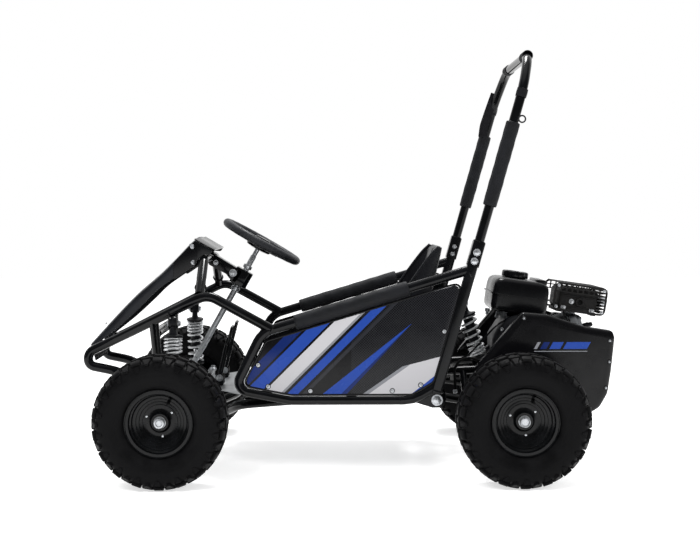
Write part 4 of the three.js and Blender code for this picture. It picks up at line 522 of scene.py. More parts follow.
class KartSizes(bpy.types.PropertyGroup):
    """Sizes of the pieces that the scene shapes."""
    tube: FloatProperty(name="Frame tube", description="Outer diameter of the bent frame tubes", default=0.025,
                        min=0.01, **LENGTH)
    knob: FloatProperty(name="Tread depth", description="Height of the knobs over the tyre's carcass", default=0.009,
                        min=0.002, **LENGTH)
    pitches: IntProperty(name="Tread pitches", description="How often the tread repeats around a tyre", default=18,
                         min=6)
    wire: FloatProperty(name="Spring wire", description="Diameter of the wire of the coil springs", default=0.0065,
                        min=0.002, **LENGTH)
    rail_pad: FloatProperty(name="Rail pad", description="Outer diameter of the foam on the side rails",
                            default=0.04, min=0.03, **LENGTH)
    roll_pad: FloatProperty(name="Roll bar pad", description="Outer diameter of the foam on the roll bar",
                            default=0.037, min=0.03, **LENGTH)


class KartColours(bpy.types.PropertyGroup):
    """Colours of the pieces that a user would change."""
    frame: FloatVectorProperty(name="Frame", description="Paint of the frame tubes", default=linear("#08090a"),
                               **COLOUR)
    blue: FloatVectorProperty(name="Panel blue", description="Main blue of the side panels",
                              default=linear("#2b4fae"), **COLOUR)
    pale: FloatVectorProperty(name="Panel white", description="White of the side panels", default=linear("#d9d8dc"),
                              **COLOUR)


def sizes():
    return bpy.context.scene.kart_sizes


def colours():
    return bpy.context.scene.kart_colours


def region(tree, place, outline):
    """One inside a convex outline of the side view and zero outside it. The outline runs counterclockwise, in
    millimetres of the kart. The least of the distances from its sides is cut at zero."""
    inside = None
    for (ax, az), (bx, bz) in zip(outline, outline[1:] + outline[:1]):
        length = math.hypot(bx - ax, bz - az)
        inward = ((az - bz) / length, 0, (bx - ax) / length)
        along = node(tree, "VectorMath", {0: place, 1: inward}, operation="DOT_PRODUCT").outputs["Value"]
        reach = (inward[0] * (ax - FRAME_MIDDLE) + inward[2] * az) / 1000
        side = maths(tree, "SUBTRACT", along, reach)
        inside = side if inside is None else maths(tree, "MINIMUM", inside, side)
    return maths(tree, "GREATER_THAN", inside, 0.0)


def slanted(low, high, left, right, lean):
    """An upright band between two heights, leaning back by a length."""
    return [(left, low), (right, low), (right + lean, high), (left + lean, high)]


def film(name, shapes, weave=None):
    """Glossy printed film: black, with flat shapes of colour laid one over the other. A fine weave may be printed
    under them, within an outline of its own. Only the faces that look away from the kart's middle are printed."""
    _, tree, skin, place = blank(name)
    colour = node(tree, "RGB").outputs[0]
    colour.default_value = linear(BLACK_FILM)

    def mixed(factor, under, over):
        return node(tree, "Mix", {"Factor": factor, "A": under, "B": over}, data_type="RGBA").outputs["Result"]

    if weave:
        threads = node(tree, "TexChecker", {"Vector": place, "Scale": 300.0, "Color1": linear(BLACK_FILM),
                                            "Color2": linear("#2a2b2f")})
        colour = mixed(region(tree, place, weave), colour, threads.outputs["Color"])
    for code, outline in shapes:
        colour = mixed(region(tree, place, outline), colour, linear(code))
    heading = node(tree, "TexCoord").outputs["Normal"]
    across = [node(tree, "SeparateXYZ", {0: source}).outputs["Y"] for source in (place, heading)]
    printed = maths(tree, "GREATER_THAN", maths(tree, "MULTIPLY", *across), 0.0)
    colour = mixed(printed, linear(BLACK_FILM), colour)
    grime = node(tree, "TexNoise", {"Vector": place, "Scale": 22.0, "Detail": 4.0}).outputs["Fac"]
    rough = node(tree, "MapRange", {"Value": grime, **DRIFT, "To Min": 0.18, "To Max": 0.3})
    ripple = node(tree, "TexNoise", {"Vector": place, "Scale": 9.0, "Detail": 1.0}).outputs["Fac"]
    bump = node(tree, "Bump", {"Height": ripple, "Distance": 0.0008, "Strength": 1.0})
    tree.links.new(colour, skin.inputs["Base Color"])
    tree.links.new(rough.outputs[0], skin.inputs["Roughness"])
    tree.links.new(bump.outputs[0], skin.inputs["Normal"])
    skin.inputs["Specular IOR Level"].default_value = DULL_SHINE


class KART_OT_materials(bpy.types.Operator):
    """Make every finish of the kart"""
    bl_idname = "kart.materials"
    bl_label = "Finishes"

    def execute(self, context):
        paint = colours()
        # Gloss black paint over steel tube, sprayed: deep black with a slight orange peel in its highlights.
        finish("frame_enamel", (paint.frame, "#101114"), (0.09, 0.15), 60, 2.5, 0.012)
        # Satin black paint on brackets and arms, a little dusty.
        finish("satin_enamel", ("#131417", "#1b1c1f"), (0.4, 0.52), 40, 1.2, 0.03)
        # Moulded tyre rubber: dark grey, matt, with fine mould texture and dust in patches.
        finish("knob_rubber", ("#0d0d0e", "#151516"), (0.5, 0.68), 30, 0.8, 0.05, Specular_IOR_Level=0.08)
        # Closed-cell foam with a skin: charcoal, soft sheen, pores of half a millimetre.
        finish("foam_skin", ("#1a1b1d", "#222326"), (0.55, 0.7), 25, 0.7, 0.12)
        # Rim enamel on pressed steel: black and glossy, so that the steps of the pressing show as bright rings.
        finish("rim_enamel", ("#08090a", "#101113"), (0.16, 0.26), 30, 2.0, 0.015)
        # Bright zinc plate on bolts, nuts and shafts: silver grey with a faint haze.
        finish("zinc_plate", ("#b4b7bb", "#cdd0d3"), (0.26, 0.38), 8, 0.6, 0.01, Metallic=0.75)
        # Bright plate on spring wire and damper rods: nearly white, with a soft gleam.
        finish("chrome_plate", ("#d9dbdd", "#e6e8ea"), (0.2, 0.3), 20, 1.5, 0.004, Metallic=0.6)
        # Ground steel of disc and sprockets: grey with fine scratches, duller than chrome.
        finish("ground_steel", ("#85888c", "#a2a5a9"), (0.3, 0.42), 10, 0.5, 0.02, Metallic=1.0)
        # Gloss printed film on the side panels: blue and white blades over black, with a weave at the upper rear.
        blue, pale, deep, silver, grey = paint.blue, paint.pale, "#142a6b", "#94969c", "#303136"
        blades = ((deep, 132, 164), (blue, 172, 214), (pale, 222, 268), (silver, 268, 276), (blue, 286, 314),
                  (grey, 324, 336))
        film("panel_film", [
            *[(code, slanted(196, 470, left, right, 274)) for code, left, right in blades],
            (blue, [(372, 196), (424, 196), (624, 396)]),
            (deep, [(424, 196), (440, 196), (624, 396)]),
            (pale, [(462, 190), (590, 190), (770, 330), (600, 286)]),
            (silver, [(462, 190), (478, 190), (620, 291), (600, 286)]),
            (blue, [(590, 190), (656, 190), (770, 272), (770, 330)]),
            (deep, [(656, 190), (684, 190), (770, 251), (770, 272)]),
            (pale, [(684, 190), (694, 190), (770, 242), (770, 251)]),
            (pale, [(600, 454), (748, 497), (748, 501), (600, 458)]),
        ], [(470, 200), (820, 200), (820, 560), (560, 560), (470, 350)])
        # Gloss film on the tail panels: black, with slanted bars that grow towards the rear and a painted highlight
        # below.
        bars = ((silver, 944, 952), (deep, 960, 976), (blue, 984, 1012), (blue, 1020, 1082))
        film("tail_film", [
            *[(code, slanted(324, 342, left, right, 10)) for code, left, right in bars],
            # Painted highlight: this silver line stands for the light caught by the panel's crease under the bars.
            (silver, slanted(317, 319, 944, 1082, 2)),
        ])
        # Cast alloy of the engine: pale grey, sand-cast grain of a millimetre.
        finish("cast_alloy", ("#8c8f93", "#a7aaad"), (0.45, 0.6), 14, 0.9, 0.12, Metallic=1.0)
        # Gloss black moulded plastic, smooth, with slight sink marks.
        finish("gloss_plastic", ("#08080a", "#0e0f11"), (0.18, 0.28), 70, 4.0, 0.02)
        # Grained black plastic of the cleaner box and recoil cover.
        finish("grained_plastic", ("#17181b", "#1f2023"), (0.42, 0.55), 20, 1.0, 0.08)
        # Black ABS of the nose cowl: half gloss, fine grain.
        finish("cowl_moulding", ("#1b1c20", "#222428"), (0.3, 0.4), 60, 0.9, 0.03)
        # Woven polyester webbing: black, dull, with a fine weave.
        finish("webbing", ("#131315", "#1b1b1e"), (0.65, 0.8), 12, 1.4, 0.15)
        # Vinyl seat cover: black, leather grained, a soft sheen on its crowns.
        finish("seat_vinyl", ("#131416", "#1a1b1e"), (0.38, 0.5), 30, 1.8, 0.14)
        # Black seat plastic: satin with leather grain of a millimetre and a half.
        finish("seat_moulding", ("#17181b", "#1e1f23"), (0.45, 0.58), 40, 1.5, 0.12)
        # Rolled floor sheet: pale grey, satin, slightly stained.
        finish("rolled_sheet", ("#a4a7aa", "#bdbfc1"), (0.35, 0.5), 35, 1.2, 0.02, Metallic=0.9)
        # Soft grip of the wheel: dark grey rubber with a fine leather grain.
        finish("grip_rubber", ("#232427", "#2d2e31"), (0.42, 0.55), 18, 1.1, 0.09)
        # Heat-proof black paint on muffler and guard, chalky.
        finish("stove_paint", ("#1a1a1b", "#262524"), (0.55, 0.7), 12, 0.8, 0.05)
        # Oiled chain steel: dark, with lighter patches where it is rubbed bright.
        finish("oiled_steel", ("#3a3b3d", "#57595b"), (0.28, 0.45), 5, 0.5, 0.02, Metallic=1.0)
        return {"FINISHED"}


class KART_OT_stage(bpy.types.Operator):
    """Make the floor, the studio light and the camera at the photograph's angle"""
    bl_idname = "kart.stage"
    bl_label = "Stage"

    def execute(self, context):
        scene = context.scene
        scene.view_settings.view_transform = "Standard"
        made, tree, skin, _ = blank("studio_floor")
        tree.nodes.remove(skin)
        paths = node(tree, "LightPath").outputs
        seen = maths(tree, "MAXIMUM", paths["Is Camera Ray"], paths["Is Transmission Ray"])
        seen = maths(tree, "MAXIMUM", seen, paths["Is Glossy Ray"])
        matt = node(tree, "BsdfDiffuse", {"Color": linear("#808080")})
        pale = node(tree, "BsdfDiffuse", {"Color": linear("#e8e8e8")})
        glow = node(tree, "Emission", {"Color": (1, 1, 1, 1), "Strength": 0.62})
        bright = node(tree, "AddShader", {0: pale.outputs[0], 1: glow.outputs[0]})
        both = node(tree, "MixShader", {0: seen, 1: matt.outputs[0], 2: bright.outputs[0]})
        tree.links.new(both.outputs[0], tree.nodes["Material Output"].inputs["Surface"])
        far = np.array([[-9, -6, 0], [9, -6, 0], [9, 9, 0], [-9, 9, 0]], float)
        mesh = bpy.data.meshes.new("floor")
        mesh.from_pydata(far.tolist(), [], [[0, 1, 2, 3]])
        mesh.materials.append(made)
        floor = bpy.data.objects.new("floor", mesh)
        scene.collection.objects.link(floor)

        world = bpy.data.worlds.new("studio")
        world.use_nodes = True
        tree = world.node_tree
        back = tree.nodes["Background"]
        paths = node(tree, "LightPath").outputs
        # White for the camera and through glass, half of that on dull surfaces. Gloss mirrors a white wall behind,
        # a soft box overhead and a dim room in front.
        seen = maths(tree, "MAXIMUM", paths["Is Camera Ray"], paths["Is Transmission Ray"])
        plain = node(tree, "MapRange", {"Value": seen, "To Min": 0.5, "To Max": 1.0})
        heading = node(tree, "SeparateXYZ", {"Vector": node(tree, "TexCoord").outputs["Generated"]}).outputs
        wall = {"Value": heading["Y"], "From Min": 0.1, "From Max": 0.6, "To Min": 0.12, "To Max": 1.0}
        roof = {"Value": heading["Z"], "From Min": 0.8, "From Max": 0.95, "To Min": 0.0, "To Max": 0.8}
        room = maths(tree, "MAXIMUM", *[node(tree, "MapRange", ramp).outputs[0] for ramp in (wall, roof)])
        strength = node(tree, "Mix", {"Factor": paths["Is Glossy Ray"], "A": plain.outputs[0], "B": room})
        back.inputs["Color"].default_value = (1, 1, 1, 1)
        tree.links.new(strength.outputs["Result"], back.inputs["Strength"])
        scene.world = world

        for name, place, aim, size, power in (
            ("key", (-1.6, -2.6, 3.0), (0, 0, 0.4), 1.4, 75),
            ("fill", (2.6, -2.4, 1.8), (0.2, 0, 0.4), 1.2, 30),
            ("top", (0.2, 0.9, 3.0), (0, 0, 0.3), 0.8, 60),
        ):
            lamp = bpy.data.lights.new(name, "AREA")
            lamp.energy, lamp.size, lamp.shape = power, size, "SQUARE"
            holder = bpy.data.objects.new(name, lamp)
            scene.collection.objects.link(holder)
            holder.location = place
            holder.visible_glossy = name == "top"
            holder.rotation_euler = (Vector(aim) - Vector(place)).to_track_quat("-Z", "Y").to_euler()

        sky = bpy.data.lights.new("sky", "SUN")
        sky.energy, sky.angle = 1.0, math.radians(100)
        holder = bpy.data.objects.new("sky", sky)
        scene.collection.objects.link(holder)
        holder.location = (0, 0, 4)
        holder.visible_glossy = False

        # The photograph's focal length in pixels, and how far its middle lies right of and below the line that
        # is square to the kart.
        focal, right, down = 1174, 20, 54
        lens = bpy.data.cameras.new("view")
        lens.lens, lens.sensor_width = 60.4, 36.0
        lens.clip_start, lens.clip_end = 0.05, 60.0
        camera = bpy.data.objects.new("view", lens)
        scene.collection.objects.link(camera)
        camera.location = (-0.0562, -3.25, 0.6736)
        camera.rotation_euler = Vector((right / focal, 1, -down / focal)).to_track_quat("-Z", "Y").to_euler()
        scene.camera = camera
        return {"FINISHED"}


class KART_OT_side_frames(bpy.types.Operator):
    """Bend the side hoops and front rails of the frame, with uprights, gussets, tabs and ears"""
    bl_idname = "kart.side_frames"
    bl_label = "Side frames"

    def execute(self, context):
        size = sizes().tube * 1000
        for side, name in SIDES:
            y = side * RAIL_Y
            hoop = [(*HOOP_REAR, y), (243, 372, y), (172, 227, y), (315, FLOOR_Z, y), (628, FLOOR_Z, y),
                    (upright_x(236), 236, y)]
            hoop = [(x, w, z) for x, z, w in hoop]
            rail = [(268, y, hoop_z(268)), (104, y, 470), (55, y, 446), (-170, side * 119, 333),
                    (-229, side * 119, 305), (-229, side * 119, 270), (-150, side * 119, 254),
                    (-104, side * 93.5, 226), (-98, side * KEEL_Y, KEEL_Z), (98, side * KEEL_Y, KEEL_Z),
                    (142, side * 145, 152), (182, side * 220, 181), (315, y, FLOOR_Z)]
            upright = [on_upright(y, 217), on_upright(y, 590)]
            square = rect(-13, -13, 13, 13, 3.0, 4)
            gusset = [(608, FLOOR_Z), (678, 177), (702, 177), (714, 197), (upright_x(236) + 13, 256),
                      (upright_x(236) - 26, 246)]
            forms = [
                tube(hoop, size, [0, 60, 26, 88, 88, 0]),
                tube(rail, size, [0, 88, 88, 88, 27, 27, 88, 88, 30, 30, 88, 88, 0]),
                carried(square, upright, lean=(0, 1, 0)),
                slab(rounded(gusset, 6), side * 251.5, side * 261.5, 1.0),
                weld((268, y, hoop_z(268)), (1, 0, -0.65), 12.4),
                weld(on_upright(y, 222), (LEAN, 0, 1), 15.5),
                weld(on_upright(y, 521), (-0.95, 0, -0.3), 13.0),
            ]
            # Tabs for the panel's screws stand on five of its six sides.
            for i in SCREWED_SIDES:
                first, second = PANEL[i], PANEL[(i + 1) % 6]
                along = unit(second - first)
                out = np.array([along[1], -along[0]])
                middle = (first + second) / 2
                tab = [middle - along * 13 + out * 17, middle + along * 13 + out * 17,
                       middle + along * 13 - out * 8.5, middle - along * 13 - out * 8.5]
                forms.append(slab(rounded(tab, 7, 4), side * 272.7, side * 275.7, 0.6))
            top = rail_at(14)[1]
            for face in (-1, 1):
                near, far = 14 + face * 8.3, 14 + face * 12.3
                ear = [(side * 240 + across, z) for across, z in
                       ((-13, top), (-10, 388), (-6, 381), (6, 381), (10, 388), (13, top))]
                forms.append(slab(rounded(ear, 4, 4), near, far, 0.6, 0))
            for end in (-ARM_X, ARM_X):
                for face in (-1, 1):
                    near, far = end + face * 14.3, end + face * 18.3
                    forms.append(block((near, side * 74, 139), (far, side * 107.5, 176), 8, 0.6, 0))
            foot = rail_at(-188)
            forms.append(block((-200, side * 96, foot[1] + 2), (-176, side * 119, foot[1] + 12), 4, 0.6))
            steel = []
            for face in (-1, 1):
                steel += bolt((14 + face * 12.3, side * 240, 393), (face, 0, 0), 8)
                for end in (-ARM_X, ARM_X):
                    steel += bolt((end + face * 18.3, side * ARM_Y, AXLE_Z), (face, 0, 0), 7)
            piece(f"side_frame_tubes_{name}", {"frame_enamel": forms, "zinc_plate": steel}, "chassis",
                  [f"side_frame_{name}"])
        return {"FINISHED"}


class KART_OT_cross_members(bpy.types.Operator):
    """Weld up the front tower, the floor ladder and the rear frame"""
    bl_idname = "kart.cross_members"
    bl_label = "Cross members"

    def execute(self, context):
        size = sizes().tube * 1000
        rail_y, rail_z = rail_at(-41)
        lean = (rail_y - KEEL_Y) / (rail_z - KEEL_Z)
        forms = [tube([(-41, side * (KEEL_Y + lean * (z - KEEL_Z)), z) for side in (-1, 1)], size)
                 for z in (rail_z - 37.5, 217)]
        for side in (-1, 1):
            forms.append(tube([(-41, side * KEEL_Y, KEEL_Z), (-41, side * rail_y, rail_z)], size))
            for z in (rail_z - 37.5, 217):
                forms.append(weld((-41, side * (KEEL_Y + lean * (z - KEEL_Z) - 14), z), (0, 1, 0.1), 12))
        bearing = column_at(-34)
        axis = column_at(1) - column_at(0)
        forms.append(tube([(-41, 0, 217), bearing - axis * 2 - (10, 0, 4)], 14))
        forms.append(lathe(collar(8.4, 15, 16.5, 7.5, 9), bearing, axis, 40, True))
        piece("front_tower_tubes", {"frame_enamel": forms}, "chassis", ["front_tower"])

        forms = [tube([(x, -262, FLOOR_Z), (x, 262, FLOOR_Z)], 20) for x in (420, 592)]
        forms.append(tube([(205, -215, FLOOR_Z), (205, 215, FLOOR_Z)], 20))
        for side in (-1, 1):
            forms.append(tube([(205, side * RUNNER_Y, FLOOR_Z), (592, side * RUNNER_Y, FLOOR_Z)], 20))
            for x in (205, 420, 592):
                forms.append(weld((x, side * (244 if x > 300 else 203), FLOOR_Z), (0, 1, 0), 10.2, 2.2))
        piece("floor_ladder", {"frame_enamel": forms}, "chassis", ["floor_frame"])

        high, low = (upright_x(440), 440), (650, 231.5)
        forms = [tube([(high[0], -262, 440), (high[0], 262, 440)], size),
                 tube([(650, -118, 231.5), (650, 118, 231.5)], size)]
        for side in (-1, 1):
            forms.append(tube([(low[0], side * 90, low[1]), (high[0], side * 90, high[1])], 20))
            forms.append(weld((high[0], side * 255, 440), (0, 1, 0), 12.4))
            forms.append(weld((high[0] - 4, side * 90, 428), (0.3, 0, 1), 10.4))
            ear = [(high[0], 430), (787, 414), (801, 426), (787, 438), (high[0], 450)]
            forms.append(slab(rounded(ear, 9), side * 8.3, side * 12.3, 0.7))
        steel = bolt((787, -12.3, 426), (0, -1, 0), 9) + bolt((787, 12.3, 426), (0, 1, 0), 9)
        steel.append(tube([(787, -13, 426), (787, 13, 426)], 10))
        piece("rear_frame_tubes", {"frame_enamel": forms, "zinc_plate": steel}, "chassis", ["rear_frame"])
        return {"FINISHED"}


class KART_OT_roll_bar(bpy.types.Operator):
    """Bend the roll bar, with its square sleeves, their bolts and the straps that hang from the crown"""
    bl_idname = "kart.roll_bar"
    bl_label = "Roll bar"

    def execute(self, context):
        size = sizes().tube * 1000
        half = [on_upright(y, z) for y, z in ((RAIL_Y, 560), (RAIL_Y, 996), (186, 1086))]
        corners = [(x, -y, z) for x, y, z in half] + half[::-1]
        forms = [tube(corners, size, 105)]
        steel, cloth = [], []
        outer = rect(-15.5, -15.5, 15.5, 15.5, 3.2, 4)
        rise = np.array([LEAN, 0, 1]) / math.hypot(LEAN, 1)
        for side in (-1, 1):
            y = side * RAIL_Y
            sleeve = [on_upright(y, 541), on_upright(y, 603)]
            forms.append(carried(outer, sleeve, lean=(0, 1, 0)))
            forms.append(weld(on_upright(y, 603), rise, 13.0))
            for z in (554, 576):
                steel += bolt(on_upright(y + side * 15.6, z), (0, side, 0), 8)
                nut = [(0, 6), (5, 6), (7, 5), (7, 0), (0, 0)]
                steel.append(lathe(nut, on_upright(y - side * 15.6, z), (0, -side, 0), 6))
        piece("roll_bar_tube", {"frame_enamel": forms, "zinc_plate": steel}, "chassis", ["roll_bar"])

        # Webbing of the harness: a flat strap down the far leg, wraps on the crown and a band on each leg.
        path = [(upright_x(z) - away, 254, z) for z, away in ((1030, 8), (975, 12), (935, 14), (902, 9))]
        web = rect(-13, -1.0, 13, 1.0, 0.9, 3)
        cloth.append(carried(web, bent(path, 60), lean=(0, 1, 0)))
        for place in (-1, 1):
            for turn in np.linspace(-0.5, 0.5, 5):
                spot = (upright_x(1086), place * (150 + turn * 44), 1086)
                cloth.append(lathe([(12.2, -5.4), (14.2, -5.2), (14.8, 0), (14.2, 5.2), (12.2, 5.4)], spot,
                                   (0, 1, 0), 28, True))
        for side in (-1, 1):
            spot = on_upright(side * RAIL_Y, 980)
            cloth.append(lathe([(12.4, -11), (14, -10.6), (14.4, 0), (14, 10.6), (12.4, 11)], spot, rise, 28, True))
        ring_path = np.insert(ring(28, 17), 1, 0, axis=1) + (upright_x(914) + 20, -RAIL_Y, 914)
        piece("harness_webbing", {"webbing": cloth, "satin_enamel": [carried(ring(10, 4), ring_path, wrap=True)]},
              "chassis")
        return {"FINISHED"}


class KART_OT_dash(bpy.types.Operator):
    """Bend the dash hoop and hang the bracket and the housing of the steering column on it"""
    bl_idname = "kart.dash"
    bl_label = "Dash"

    def execute(self, context):
        size = sizes().tube * 1000
        top, middle = column_at(263), np.array((DASH_X, 0, DASH_Z))
        axis = column_at(1) - column_at(0)
        hoop = [(DASH_X, y, z) for y, z in ((-262, 468), (-158, DASH_Z), (158, DASH_Z), (262, 468))]
        forms = [tube(hoop, size, 42)]
        run = unit(top - middle)
        across = np.array([-run[2], 0, run[0]])
        web = [middle + along * run + high * across for along, high in
               ((6, -15), (62, -12), (82, -20), (96, -20), (96, 17), (62, 17), (6, 17))]
        for side in (-1, 1):
            forms.append(slab(rounded([(p[0], p[2]) for p in web], 5), side * 19.5, side * 23, 0.6))
        low, high = [middle + along * run + 15.6 * across for along in (4, 84)]
        forms.append(carried(rect(-23, -1.5, 23, 1.5, 1.2, 3), [low, high], lean=across))
        house = [(-25, -23), (14, -23), (24, -14), (24, 14), (14, 23), (-25, 23)]
        shell = slab(rounded(house, 7), -23, 23, 2.0, 2)
        forms.append(aimed(shell, top, axis))
        steel = []
        for side in (-1, 1):
            for along in (22, 77):
                spot = middle + along * run
                steel += bolt((spot[0], side * 23, spot[2]), (0, side, 0), 6 if along < 50 else 9)
            steel += bolt((63, side * 127, 562), (0, side, 0), 8)
        for side in (-1, 1):
            y = side * 116
            ear = [(DASH_X, 546), (DASH_X, 566), (70, 580), (58, 583), (52, 575), (62, 556)]
            forms.append(slab(rounded(ear, 6), y - 11, y + 11, 1.0))
            forms.append(weld((DASH_X, side * 240, 486), (0, -0.6, 0.5), 12.6))
        piece("dash_hoop", {"frame_enamel": forms, "zinc_plate": steel}, "chassis", ["dash_frame"])
        return {"FINISHED"}


class KART_OT_body(bpy.types.Operator):
    """Form the nose cowl, the side panels and the floor pan"""
    bl_idname = "kart.body"
    bl_label = "Body panels"

    def execute(self, context):
        # Stations of the cowl from nose to dash, as shares of its reach: X, Z, depth of the skirts and half width.
        shares = np.array([(0, 0, 0.227, 0.63), (0.239, 0.266, 0.6, 0.685), (0.436, 0.468, 0.68, 0.753),
                           (0.564, 0.58, 0.6, 0.808), (0.675, 0.676, 0.66, 0.863), (0.813, 0.813, 0.88, 0.932),
                           (0.931, 0.937, 1, 0.98), (1, 1, 1, 1)])
        stations = eased(shares * (289, 284, 44, 146) + (-229, 322, 0, 0), 8)
        heading = unit(np.gradient(stations[:, :2], axis=0))
        outer = [channel_row(half, skirt, min(16, skirt * 0.8), 6, 3) for _, _, skirt, half in stations]
        rows = np.array(outer)
        points = np.stack([stations[:, None, 0] - heading[:, None, 1] * rows[..., 1], rows[..., 0],
                           stations[:, None, 1] + heading[:, None, 0] * rows[..., 1]], -1)
        ridge = []
        for side in (-1, 1):
            # A raised crease runs back along each shoulder of the cowl.
            line = points[:, 4 if side > 0 else 16]
            ridge.append(carried(ring(10, 5), line[4:-3] + (0, 0, 0.3)))
        # The dash plate closes the top of the cowl, and a cheek on each side is notched around the dash hoop.
        share = np.linspace(0, 1, 5)[:, None]
        path = (58, 0, 607.5) + share * (52, 0, -30)
        wide = [rect(-w, -1.2, w, 1.2, 1, 3) for w in 142 - 6 * share[:, 0]]
        dash = [carried(wide, path, lean=(0.5, 0, 0.87))]
        steel = []
        for side in (-1, 1):
            cheek = [(0, 497), (60, 538), (68, 556), (84, 567), (100, 566), (108, 577), (60, 603), (2, 546)]
            skin, faces = slab(rounded(cheek, 6), side * 146.6, side * 148.4, 0.6)
            skin[:, 1] -= side * (60 - skin[:, 0]) * 0.15
            dash.append((skin, faces))
            for spot, heading in (((55, side * 147.6, 546), (0, side, 0)), ((53, side * 147.4, 588), (0, side, 0)),
                                  ((44, side * 112, 592), (-0.66, 0, 0.75)),
                                  ((-186, side * 84, 379), (-0.74, 0, 0.68))):
                steel += button(spot, heading, 4.5)
        piece("nose_cowl", {"cowl_moulding": [grid(points)] + ridge, "gloss_plastic": dash, "zinc_plate": steel},
              "chassis", ["nose_panel"], 30)
        piece("nose_grille", {"satin_enamel": [grid_plate((-229, 322), 84)]}, "chassis")

        for side, name in SIDES:
            forms = [slab(rounded(PANEL, 17, 8), side * 276, side * 279.4, 0.9)]
            border = np.insert(rounded(inset(PANEL, -2.2), 18, 8), 1, side * 277, axis=1)
            steel, black = [], [carried(ring(8, 5.6, 4.6), border, wrap=True, lean=(0, 1, 0))]
            for i in SCREWED_SIDES:
                first, second = PANEL[i], PANEL[(i + 1) % 6]
                along = unit(second - first)
                into = np.array([-along[1], along[0]])
                spots = [0.5] if i in (2, 3) else [0.16, 0.84] if i == 1 else [0.5]
                for share in spots:
                    x, z = first + (second - first) * share + into * 8
                    steel += button((x, side * 279.9, z), (0, side, 0), 3.6)
                    black.append(lathe([(0, 0.7), (6.4, 0.6), (6.9, 0.2), (6.9, -0.3), (0, -0.3)],
                                       (x, side * 279.4, z), (0, side, 0), 24))
            piece(f"side_panel_{name}_film", {"panel_film": forms, "zinc_plate": steel, "gloss_plastic": black},
                  "chassis", [f"side_panel_{name}"])

        z = 209.3
        outline = [(84, -110), (182, -243), (640, -243), (640, 243), (182, 243), (84, 110)]
        forms = [slab(rounded(outline, 10), z, z + 2, 0.5, 2), block((84, -110, z), (86, 110, z + 18), 1, 0.4, 1)]
        for y in (-190, -130, -40, 40, 130, 190):
            rib = rect(215, y - 7, 388, y + 7, 6.8)
            forms.append(slab(rib, z + 1, z + 3.4, 1.3, 2))
        steel, black = [], []
        for x, y in ((205, -180), (205, 180), (205, 0), (420, -225), (420, 225), (592, -225), (592, 225), (420, 0)):
            steel += button((x, y, z + 2), (0, 0, 1), 5)
        for side in (-1, 1):
            for face in (-1, 1):
                near, far = side * PEDAL_Y + face * 13.3, side * PEDAL_Y + face * 17.3
                black.append(block((107, near, z + 1), (129, far, 243), 8, 0.7, 1))
            for face in (-1, 1):
                steel += bolt((PEDAL_X, side * PEDAL_Y + face * 17.3, PEDAL_Z), (0, face, 0), 8)
            steel.append(tube([(PEDAL_X, side * PEDAL_Y + reach, PEDAL_Z) for reach in (-17, 17)], 9.6))
        piece("floor_sheet", {"rolled_sheet": forms, "zinc_plate": steel, "frame_enamel": black}, "chassis",
              ["floor_pan"])
        return {"FINISHED"}


class KART_OT_seat(bpy.types.Operator):
    """Form the seat shell and lay its padded cover in it"""
    bl_idname = "kart.seat"
    bl_label = "Seat"

    def execute(self, context):
        # Stations of the seat from front to top, as shares of its reach: X, Z, lean, depth of the sides, half width.
        shares = np.array([(0, 0.11, -0.231, 0.234, 0.872), (0.142, 0.039, -0.103, 0.484, 0.953),
                           (0.415, 0, 0, 0.75, 1), (0.634, 0.011, 0.359, 0.984, 1), (0.776, 0.127, 0.795, 1, 0.988),
                           (0.858, 0.381, 0.949, 0.82, 0.953), (0.934, 0.685, 0.962, 0.52, 0.907),
                           (0.984, 0.912, 0.974, 0.24, 0.86), (1, 1, 1, 0.08, 0.814)])
        stations = eased(shares * (366, 362, 78, 128, 172) + (348, 222, 0, 0, 0), 7)

        def placed(rows, chosen):
            angle = np.radians(chosen[:, 2])[:, None]
            return np.stack([chosen[:, None, 0] + rows[..., 1] * np.sin(angle), rows[..., 0],
                             chosen[:, None, 1] - rows[..., 1] * np.cos(angle)], -1)

        rows = np.array([channel_row(half, side, min(42, side * 0.8), 0, 4) for _, _, _, side, half in stations])
        forms = [grid(placed(rows, stations))]
        for k in (0, 20):
            edge = placed(rows, stations)[:, k]
            forms.append(carried(ring(12, 7.5), edge - (0, math.copysign(2, edge[5, 1]), 0)))
        runners = [block((425, side * RUNNER_Y - 11, 211.8), (575, side * RUNNER_Y + 11, 225), 3, 0.8)
                   for side in (-1, 1)]
        steel = []
        for side in (-1, 1):
            for x in (440, 560):
                steel += bolt((x, side * RUNNER_Y, 226.5), (0, 0, 1), 8)
        piece("seat_bucket", {"seat_moulding": forms, "satin_enamel": runners, "zinc_plate": steel}, "chassis",
              ["seat"], 50)

        # Cover: a base and a back cushion. Each is a grid over the shell's inner face, raised by a crown that falls
        # to the edges, with three sewn channels across it.
        for name, first, last in (("seat_base_pad", 5, 28), ("seat_back_pad", 31, 61)):
            chosen = stations[first:last]
            across = np.linspace(-1, 1, 41)
            along = np.linspace(-1, 1, len(chosen))[:, None]
            edge = np.clip(1 - np.abs(across) ** 6, 0, 1) * np.clip(1 - np.abs(along) ** 6, 0, 1)
            seams = 1 - 0.5 * np.exp(-((np.abs(across) - 0.52) / 0.035) ** 2)
            seams = seams * (1 - 0.35 * np.exp(-(along / 0.07) ** 2))
            crown = -(4.6 + 15 * np.sqrt(edge) * seams)
            half = chosen[:, 4:] - 30
            spread = np.broadcast_to(across * half, crown.shape)
            top = placed(np.stack([spread, crown], -1), chosen)
            base = placed(np.stack([spread, np.full_like(crown, -4.4)], -1), chosen)
            whole = np.concatenate([top, base[:, ::-1]], 1)
            rim = np.concatenate([top[0], top[1:, -1], top[-1, -2::-1], top[-2:0:-1, 0]])
            cord = carried(ring(8, 5.0), rim, wrap=True, lean=(0, 0, 1))
            cover = piece(name, {"seat_vinyl": [grid(whole)], "gloss_plastic": [cord]}, "chassis", sharp=60)
        return {"FINISHED"}


